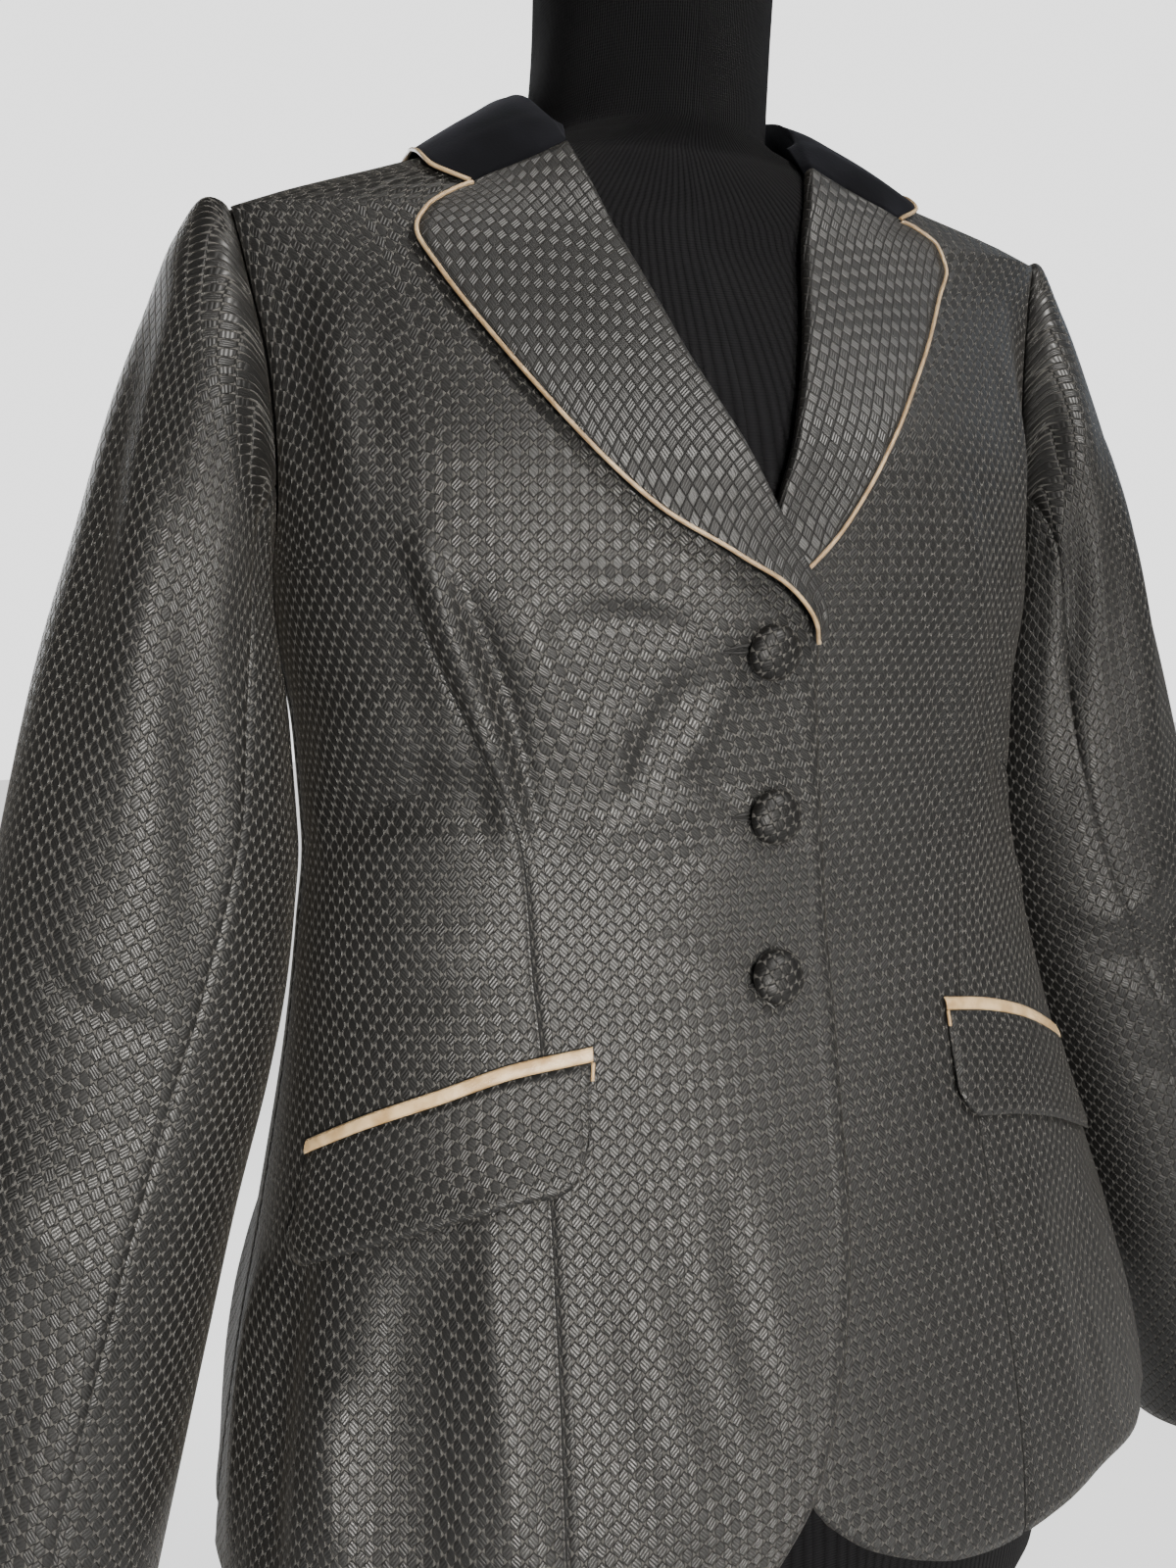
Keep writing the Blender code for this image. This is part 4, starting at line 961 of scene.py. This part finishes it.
def knit():
    """Fine vertical ribs of a stretch cover, u round the form and v up it."""
    paint = Paint("form_knit", Specular_IOR_Level=0.12, Sheen_Weight=0.02, Sheen_Roughness=0.5,
                  Sheen_Tint=(0.6, 0.6, 0.6))
    place = paint.cloth_place()
    split = paint.node("SeparateXYZ", {0: place})
    rib, stitch = (paint.math("ABSOLUTE", paint.math("SINE", paint.math("MULTIPLY", output, math.pi / size)))
                   for output, size in zip(split, (RIB, STITCH)))
    # The cover is darker in the grooves between ribs, following the bump: painted shade
    paint.look(Base_Color=paint.blend(rib, (0.0015, 0.0015, 0.002), (0.007, 0.007, 0.008)),
               Roughness=paint.span(paint.noise(place, 30), 0.3, 0.7, 0.82, 0.92))
    paint.bump(paint.math("MULTIPLY_ADD", stitch, 0.25, rib), 0.0006)


def speckled(name, dark, light, scale, low, high, bump, **constants):
    """Plain finish whose colour and roughness vary a little, for thread, paint and lacquer, and for the
    painted seam shade.
    """
    paint = Paint(name, **constants)
    cloud = paint.noise(paint.object_place(), scale, 4)
    paint.look(Base_Color=paint.blend(paint.span(cloud, 0.3, 0.7), dark, light),
               Roughness=paint.span(cloud, 0.3, 0.7, low, high))
    paint.bump(cloud, bump, 0.5)
    return paint


def wood():
    paint = Paint("lacquered_wood", Coat_Weight=0.4, Coat_Roughness=0.2)
    grain = paint.node("TexWave", {"Vector": paint.object_place(), "Scale": 28, "Distortion": 5, "Detail": 3},
                       wave_type="RINGS", rings_direction="X")["Fac"]
    paint.look(Base_Color=paint.blend(grain, (0.012, 0.01, 0.009), (0.03, 0.024, 0.02)),
               Roughness=paint.span(grain, 0, 1, 0.3, 0.45))
    paint.bump(grain, 0.0002, 0.4)


def materials():
    jacquard("jacquard_body", 45, BLOCK_TALLER)
    jacquard("jacquard_sleeve", 45, BLOCK_TALLER)
    # The lapel cloth, the body's cloth with a raised specular level: painted sheen
    jacquard("jacquard_lapel", 8, corners=NO_CORNERS, gloss=LAPEL_PAINTED_SHEEN)
    jacquard("jacquard_flap", 45)
    # The button cloth, the body's cloth with a lowered specular level: painted shade
    jacquard("jacquard_button", 20, rise=BUTTON_BUMP, gloss=BUTTON_SHADED_GLOSS)
    velvet()
    # The piping uses the welt's satin made darker: painted shade
    satin("satin_piping", 260, (0.3, 0.195, 0.098), (0.49, 0.355, 0.205))
    satin("satin_welt", 140, (0.39, 0.245, 0.11), (0.66, 0.475, 0.265))
    knit()
    speckled("black_thread", (0.002, 0.002, 0.002), (0.007, 0.007, 0.007), 900, 0.6, 0.75, 0.0003)
    # Near-black lines laid in the seam dips, the bust darts and the buttonhole slits: painted seam shade
    speckled("painted_seam_shade", (0.002, 0.002, 0.002), (0.006, 0.006, 0.006), 400, 0.85, 0.95, 0.0002)
    speckled("black_paint", (0.012, 0.012, 0.013), (0.016, 0.016, 0.017), 400, 0.36, 0.4, 0.0001)
    wood()


# Panels

def fine_rows():
    """Plain heights of a torso panel's rows, hem to neck."""
    low = np.linspace(HEM, ARMHOLE_HEIGHT - ARMHOLE_RISE, BODY_ROWS)
    hole = ARMHOLE_HEIGHT - ARMHOLE_RISE * np.cos(np.linspace(0, np.pi, ARMHOLE_ROWS))
    high = np.linspace(hole[-1], SHOULDER_TOP, SHOULDER_FINE_ROWS)
    return np.concatenate([low[:-1], hole, high[1:]])


def panel_grid(columns, angle_at, hem_at, rows):
    """Angles and heights of a torso panel, each column stretched to its own hem height."""
    heights = np.array([above_hem(rows, hem_at(angle_at(column, HEM))) for column in columns])
    return np.array([angle_at(column, level) for column, level in zip(columns, heights)]), heights


def front_shell(side):
    ahead = edged(FRONT_AHEAD, DART_NEAR)
    dart_column = len(ahead) - 1
    columns = np.append(ahead, 1 + edged(FRONT_BEHIND, DART_NEAR)[1:])
    roll = tuple((roll_z, roll_x) for roll_x, roll_z, _, _ in LAPEL[side])
    edge = EDGE[side] + roll + ((NECK_POINT[0], side * NECK_POINT[1]),)

    def angle_at(column, height):
        """Column 0 is the front edge, 1 the dart and 2 the side seam."""
        start = front_angle(smooth(edge, height)[..., 0], height)
        middle = side * smooth(DART[side], height)[..., 0]
        end = side * (90 - ARMHOLE_FRONT * armhole_share(height))
        return start + (middle - start) * min(column, 1) + (end - middle) * max(column - 1, 0)

    def hem_at(angle):
        return smooth(HEM_LINE[side], body(angle, HEM)[0])[0]

    angles, heights = panel_grid(columns, angle_at, hem_at, fine_rows())
    points = on_coat(angles, heights, front_lift(side, angles, heights))
    normals = outward(angles, heights)
    from_edge, length = lengths(points, 0), lengths(points, 1)
    rise = torso_creases(points) - EDGE_DROP * (dent(from_edge, EDGE_HALF) + dent(length, EDGE_HALF))
    if side == RIGHT:
        rise += EDGE_ROLL * dent(from_edge - EDGE_ROLL_IN, EDGE_HALF)
    dart_on = ramp(-heights, -DART_TOP, -DART_TOP + DART_FADE)
    rise += seam_relief(np.abs(from_edge - from_edge[dart_column]), length) * dart_on
    rise += seam_relief(from_edge[-1] - from_edge, length)
    dart = refine(np.array([[on_front(side, x, z) for x, z in BUST_DART[side]]] * 2), *DART_PARTS)[0]
    distance, along = path_distance(points, dart)
    fade = np.sin(np.pi * np.clip(along, *BUST_DART_ENDS)) ** BUST_DART_FADE
    rise -= BUST_DART_DEPTH * dent(distance, BUST_DART_HALF) * fade
    points = points + normals * rise[..., None]
    cloth("front_" + WORD[side], points, spots(points, dart_column, WAIST_ROW), "jacquard_body",
          FRONT_WALL, side == RIGHT)
    # A thin dark line in the dart seam's dip: painted seam shade
    seam = np.abs(heights[dart_column] - HEM) < DART_TOP - HEM
    line = points[dart_column] + normals[dart_column] * SEAM_DIP * SEAM_LINE_SHARE
    tube("front_seam_shade_" + WORD[side], line[seam], SEAM_SHADE_RADIUS)
    # A thin dark line along the bust dart's fold: painted shade
    drop = torso_creases(dart) - BUST_DART_DEPTH * BUST_DART_SHARE
    tube("bust_dart_shade_" + WORD[side], dart + front_normals(dart) * drop[:, None], DART_SHADE_RADIUS)


def back_panel(node, side, rows, start, end, count):
    """A back or side back between two seam lines, given as functions of height."""
    def angle_at(share, height):
        return side * (start(height) + (end(height) - start(height)) * share)

    angles, heights = panel_grid(edged(count), angle_at, back_hem, rows)
    points, normals = on_coat(angles, heights), outward(angles, heights)
    across, length = lengths(points, 0), lengths(points, 1)
    rise = torso_creases(points) - EDGE_DROP * dent(length, EDGE_HALF)
    rise += seam_relief(across, length) + seam_relief(across[-1] - across, length)
    points = points + normals * rise[..., None]
    cloth(node + WORD[side], points, spots(points, len(points) // 2, WAIST_ROW), "jacquard_body",
          flip=side == RIGHT)


def back_shells(side):
    seam_top = BACK_SEAM[-1][0]

    def side_seam(height):
        return 90 + ARMHOLE_BACK * armhole_share(height)

    def seam_on_side(height):
        angle, vent = np.moveaxis(smooth(BACK_SEAM, height), -1, 0)
        return np.maximum(angle - vent, side_seam(height) + LEAST_SEAM_ANGLE)

    def seam_on_back(height):
        angle, vent = np.moveaxis(smooth(BACK_SEAM, height), -1, 0)
        return np.where(height < seam_top, angle + vent, side_seam(height))

    rows = fine_rows()
    side_rows = np.append(rows[rows < seam_top], seam_top)
    back_panel("side_back_", side, side_rows, side_seam, seam_on_side, SIDE_BACK_COLUMNS)
    back_panel("back_", side, rows, seam_on_back, lambda height: 180, BACK_COLUMNS)


def sleeve_shells(side):
    cap = np.linspace(0, SLEEVE_CAP_END, SLEEVE_CAP_RINGS)
    rings = np.append(cap, np.linspace(SLEEVE_CAP_END, len(SLEEVE) - 1, SLEEVE_RINGS)[1:])
    for kind, first, last, count in SLEEVE_PARTS:
        points, normals = sleeve_grid(side, rings, first + (last - first) * edged(count))
        across, length = lengths(points, 0), lengths(points, 1)
        creases = crease_rise(points, SLEEVE_CREASES[side], lambda *place: sleeve_surface(side, *place))
        rise = creases * ramp(length, *CAP_PLAIN)
        rise += seam_relief(across, length) + seam_relief(across[-1] - across, length)
        rise -= EDGE_DROP * dent(length[:, -1:] - length, EDGE_HALF) + SEAM_DIP * dent(length, SEAM_HALF)
        points = points + normals * rise[..., None]
        cloth(kind + WORD[side], points, spots(points, len(points) // 2, SLEEVE_GRAIN_ROW), "jacquard_sleeve",
              flip=side == LEFT)


def lapel_shell(side):
    rows = [lapel_row(side, row) for row in range(len(LAPEL[side]))]
    points = refine(np.stack(rows, 1), *LAPEL_PARTS)
    normals = unit(np.cross(np.gradient(points, axis=0), np.gradient(points, axis=1)))
    normals = np.where(normals[..., 1:2] > 0, -normals, normals)
    across = np.linspace(0, 1, len(points))[:, None] ** LAPEL_STAND_POWER
    along = np.interp(np.linspace(0, 1, points.shape[1]), *zip(*LAPEL_STANDS))
    points = points + normals * (across * along)[..., None]
    edge_piping("piping_lapel_" + WORD[side], points, "lapel_piping_" + WORD[side])
    cloth("lapel_" + WORD[side], points, spots(points), "jacquard_lapel",
          LAPEL_WALL, side == RIGHT)


def collar_shell():
    numbers = np.arange(0, len(COLLAR) - 1 + COLLAR_STEP / 2, COLLAR_STEP)
    right_end, left_end = (lapel_row(side, -1, COLLAR_END_SHIFT) for side in (RIGHT, LEFT))
    right_rows = [collar_row(RIGHT, row) for row in numbers[:0:-1]]
    left_rows = [collar_row(LEFT, row) for row in numbers]
    points = refine(np.stack([right_end, *right_rows, *left_rows, left_end], 1), *COLLAR_PARTS)
    edge_piping("piping_collar", points, "collar_piping")
    cloth("collar", points[:, ::-1], spots(points)[:, ::-1], "velvet_pile",
          LAPEL_WALL)


def pocket_shells(side):
    shares = 0.5 - 0.5 * np.cos(np.linspace(0, np.pi, FLAP_COLUMNS))
    ends = np.linspace(0, 1, len(POCKET[side]))
    angles, heights = smooth(np.column_stack([ends, POCKET[side]]), shares).T

    def grid(drops, leans, lifts):
        rows = []
        for drop, lean, lift in zip(drops, leans, lifts):
            place = (side * (angles + lean), heights - drop)
            extra = front_lift(side, *place)
            rows.append(on_coat(*place, extra + lift + torso_creases(on_coat(*place, extra))))
        return np.stack(rows, 1)

    across = np.linspace(0, 1, WELT_ROWS)
    crown = WELT_LIFT + WELT_CROWN * np.sin(np.pi * across) ** CROWN_POWER
    welt = grid(across * WELT_HEIGHT, 0 * across, crown)
    parts = np.linspace(0, 1, FLAP_ROWS) ** FLAP_ROW_POWER
    start = WELT_HEIGHT + SEAM
    depth, lean = FLAP[side]
    to_end = np.minimum(shares, 1 - shares)
    corner = 1 - np.sqrt(1 - np.clip(1 - to_end / FLAP_CORNER, 0, 1) ** 2)
    drops = [start + (depth - start) * part * (1 - FLAP_CORNER_RISE * corner * part) for part in parts]
    lifts = [FLAP_LIFT + FLAP_SPRING * part ** 2
             - EDGE_DROP * (dent(to_end, FLAP_EDGE_SHARE) + dent(1 - part, FLAP_HEM_SHARE)) for part in parts]
    flap = grid(drops, lean * parts, lifts)
    shell("satin_welt_" + WORD[side], welt, spots(welt), "satin_welt", ("welt_" + WORD[side],), FLAP_WALL,
          side == LEFT)
    cloth("flap_" + WORD[side], flap, spots(flap), "jacquard_flap",
          FLAP_WALL, side == LEFT)
    path = flap[0, :WELT_END] + outward(side * angles[0], heights[0]) * FLAP_WALL
    tube("welt_end_" + WORD[side], path, WELT_END_RADIUS, "satin_welt", resolution=ROUND)


def on_creased_front(x, z, lift):
    """Points on the right front with its creases, raised by a lift."""
    flat = on_front(RIGHT, x, z)
    return flat + front_normals(flat) * (torso_creases(flat) + lift)[..., None]


def button_shell(name, height, shift_x, shift_z, hole_start, hole_over, hole_rise):
    """Cloth covered button: a domed cap drawn in under its rim, with its worked hole beside it."""
    facing = outward(0.0, height)
    place = on_creased_front(np.array([shift_x]), np.array([height + shift_z]), BUTTON_LIFT)[0]
    right = unit(np.cross(facing, (0, 0, 1)))
    up = unit(np.cross(right, facing))
    turns = np.linspace(0, 2 * np.pi, BUTTON_COLUMNS, endpoint=False)[:, None, None]
    profile = smooth(numbered(BUTTON_DOME), np.linspace(0, len(BUTTON_DOME) - 1, BUTTON_ROWS))
    radius, rise = profile[:, :1], profile[:, 1:]
    local = facing * rise + radius * (np.cos(turns) * right + np.sin(turns) * up)
    uv = np.stack([local @ right, local @ up], -1)
    shell("cloth_" + name, place + local, uv, "jacquard_button", (name,), closed=True)
    shares = np.linspace(0, 1, HOLE_STEPS)
    xs = hole_start * (1 - shares) - HOLE_END * shares
    zs = height + hole_over + hole_rise * shares
    swell = HOLE_THIN + (1 - HOLE_THIN) * np.sin(np.pi * np.clip(shares * HOLE_SWELL, 0, 0.5))
    for word, sign in (("upper", 1), ("lower", -1)):
        path = on_creased_front(xs, zs + sign * BUTTONHOLE_HALF * swell, BUTTONHOLE_THREAD / 3)
        tube("buttonhole_%s_%s" % (word, name), path, BUTTONHOLE_THREAD, "black_thread", shares=swell)
    # The slit is a dark cord of painted shade where the buttonhole's opening lies
    tube("buttonhole_slit_shade_" + name, on_creased_front(xs, zs, 0.0), BUTTONHOLE_HALF, shares=swell)


def form_shell():
    angles = np.arange(FORM_FINE_COLUMNS + 1) * 360 / FORM_FINE_COLUMNS
    turn = np.radians(angles)
    rings = []
    for height in FORM_ROWS:
        ease = smooth(FORM_EASE, height)[0] + FORM_EDGE_ROUND * (height == FORM_ROWS[0])
        facing = outward(angles, max(height, HEM))
        if height < FORM_SHOULDER:
            facing = unit(facing * (1, 1, 0))
        ring = body(angles, max(height, HEM)) - facing * ease
        if height < FORM_SHOULDER:
            ring[:, 2] = height
        rings.append(ring)
    for height, half_width, centre, half_depth in FORM_NECK:
        ring = [half_width * np.sin(turn), centre - half_depth * np.cos(turn), np.full(len(turn), height)]
        rings.append(np.stack(ring, -1))
    points = refine(np.stack(rings, 1), *FORM_PARTS)
    uv = spots(points)
    uv[..., 0] = np.linspace(0, 2 * np.pi * FORM_RIB_RADIUS, len(points))[:, None]
    uv[..., 1] = uv[..., 1].mean(0)
    shell("cover_form", points, uv, "form_knit", ("form_torso",))
    for name, ring in (("form_underside", points[::-1, 0]), ("form_neck_top", points[:, -1])):
        disc = ring[:, None] + (ring.mean(0) - ring[:, None]) * np.linspace(0, 1, DISC_RINGS)[:, None]
        shell(name, disc, disc[..., :2], "form_knit")


# The scene

def camera():
    data = bpy.data.cameras.new("camera")
    data.sensor_fit = "VERTICAL"
    data.sensor_height = SENSOR
    data.lens = SENSOR * FOCAL_PIXELS / PHOTO_HEIGHT
    data.clip_start = 0.01
    obj = add_object("camera", data)
    place = Matrix.Translation(CAMERA_PLACE)
    for degrees, axis in CAMERA_TURNS:
        place = place @ Matrix.Rotation(math.radians(degrees), 4, axis)
    obj.matrix_world = place
    bpy.context.scene.camera = obj


def area_light(name, place, target, size, spread, watts, colour):
    data = bpy.data.lights.new(name, "AREA")
    data.shape = "DISK"
    data.size = size
    data.spread = math.radians(spread)
    data.energy = watts
    data.color = colour
    obj = add_object(name, data)
    obj.location = place
    obj.rotation_euler = (Vector(target) - Vector(place)).to_track_quat("-Z", "Y").to_euler()


def by_ray(tree, others, seen):
    """A number for the camera's own rays and another for all others."""
    rays = tree.nodes.new("ShaderNodeLightPath")
    choice = tree.nodes.new("ShaderNodeMapRange")
    choice.inputs["To Min"].default_value = others
    choice.inputs["To Max"].default_value = seen
    tree.links.new(rays.outputs["Is Camera Ray"], choice.inputs["Value"])
    return choice.outputs["Result"]


def surroundings():
    world = bpy.data.worlds.new("studio")
    bpy.context.scene.world = world
    world.use_nodes = True
    background = world.node_tree.nodes["Background"].inputs
    background["Color"].default_value = (1, 1, 1, 1)
    strength = by_ray(world.node_tree, WORLD_STRENGTH, BACKDROP_STRENGTH)
    world.node_tree.links.new(strength, background["Strength"])
    for row in LIGHTS:
        area_light(*row)
    turns = np.linspace(0, 2 * np.pi, FLOOR_SIDES, endpoint=False)
    ring = np.stack([np.cos(turns), np.sin(turns), 0 * turns], -1)
    floor = bare_grid("floor", ring[:, None] * np.reshape(FLOOR_RINGS, (-1, 1)), closed=True)
    paint = speckled("pale_floor", (0.84, 0.84, 0.83), (0.88, 0.88, 0.87), 3, 0.7, 0.8, 0.001,
                     Emission_Color=(1, 1, 1))
    paint.look(Emission_Strength=by_ray(paint.tree, FLOOR_FILL, FLOOR_GLOW))
    floor.data.materials.append(MATERIAL["pale_floor"])


def main():
    materials()
    for side in (RIGHT, LEFT):
        for build in (front_shell, back_shells, sleeve_shells, lapel_shell, pocket_shells):
            build(side)
    collar_shell()
    for name, row in BUTTONS.items():
        button_shell(name, *row)
    form_shell()
    for node, material in FORM_FINISH:
        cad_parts[node].material_slots[0].material = MATERIAL[material]
    camera()
    surroundings()


main()
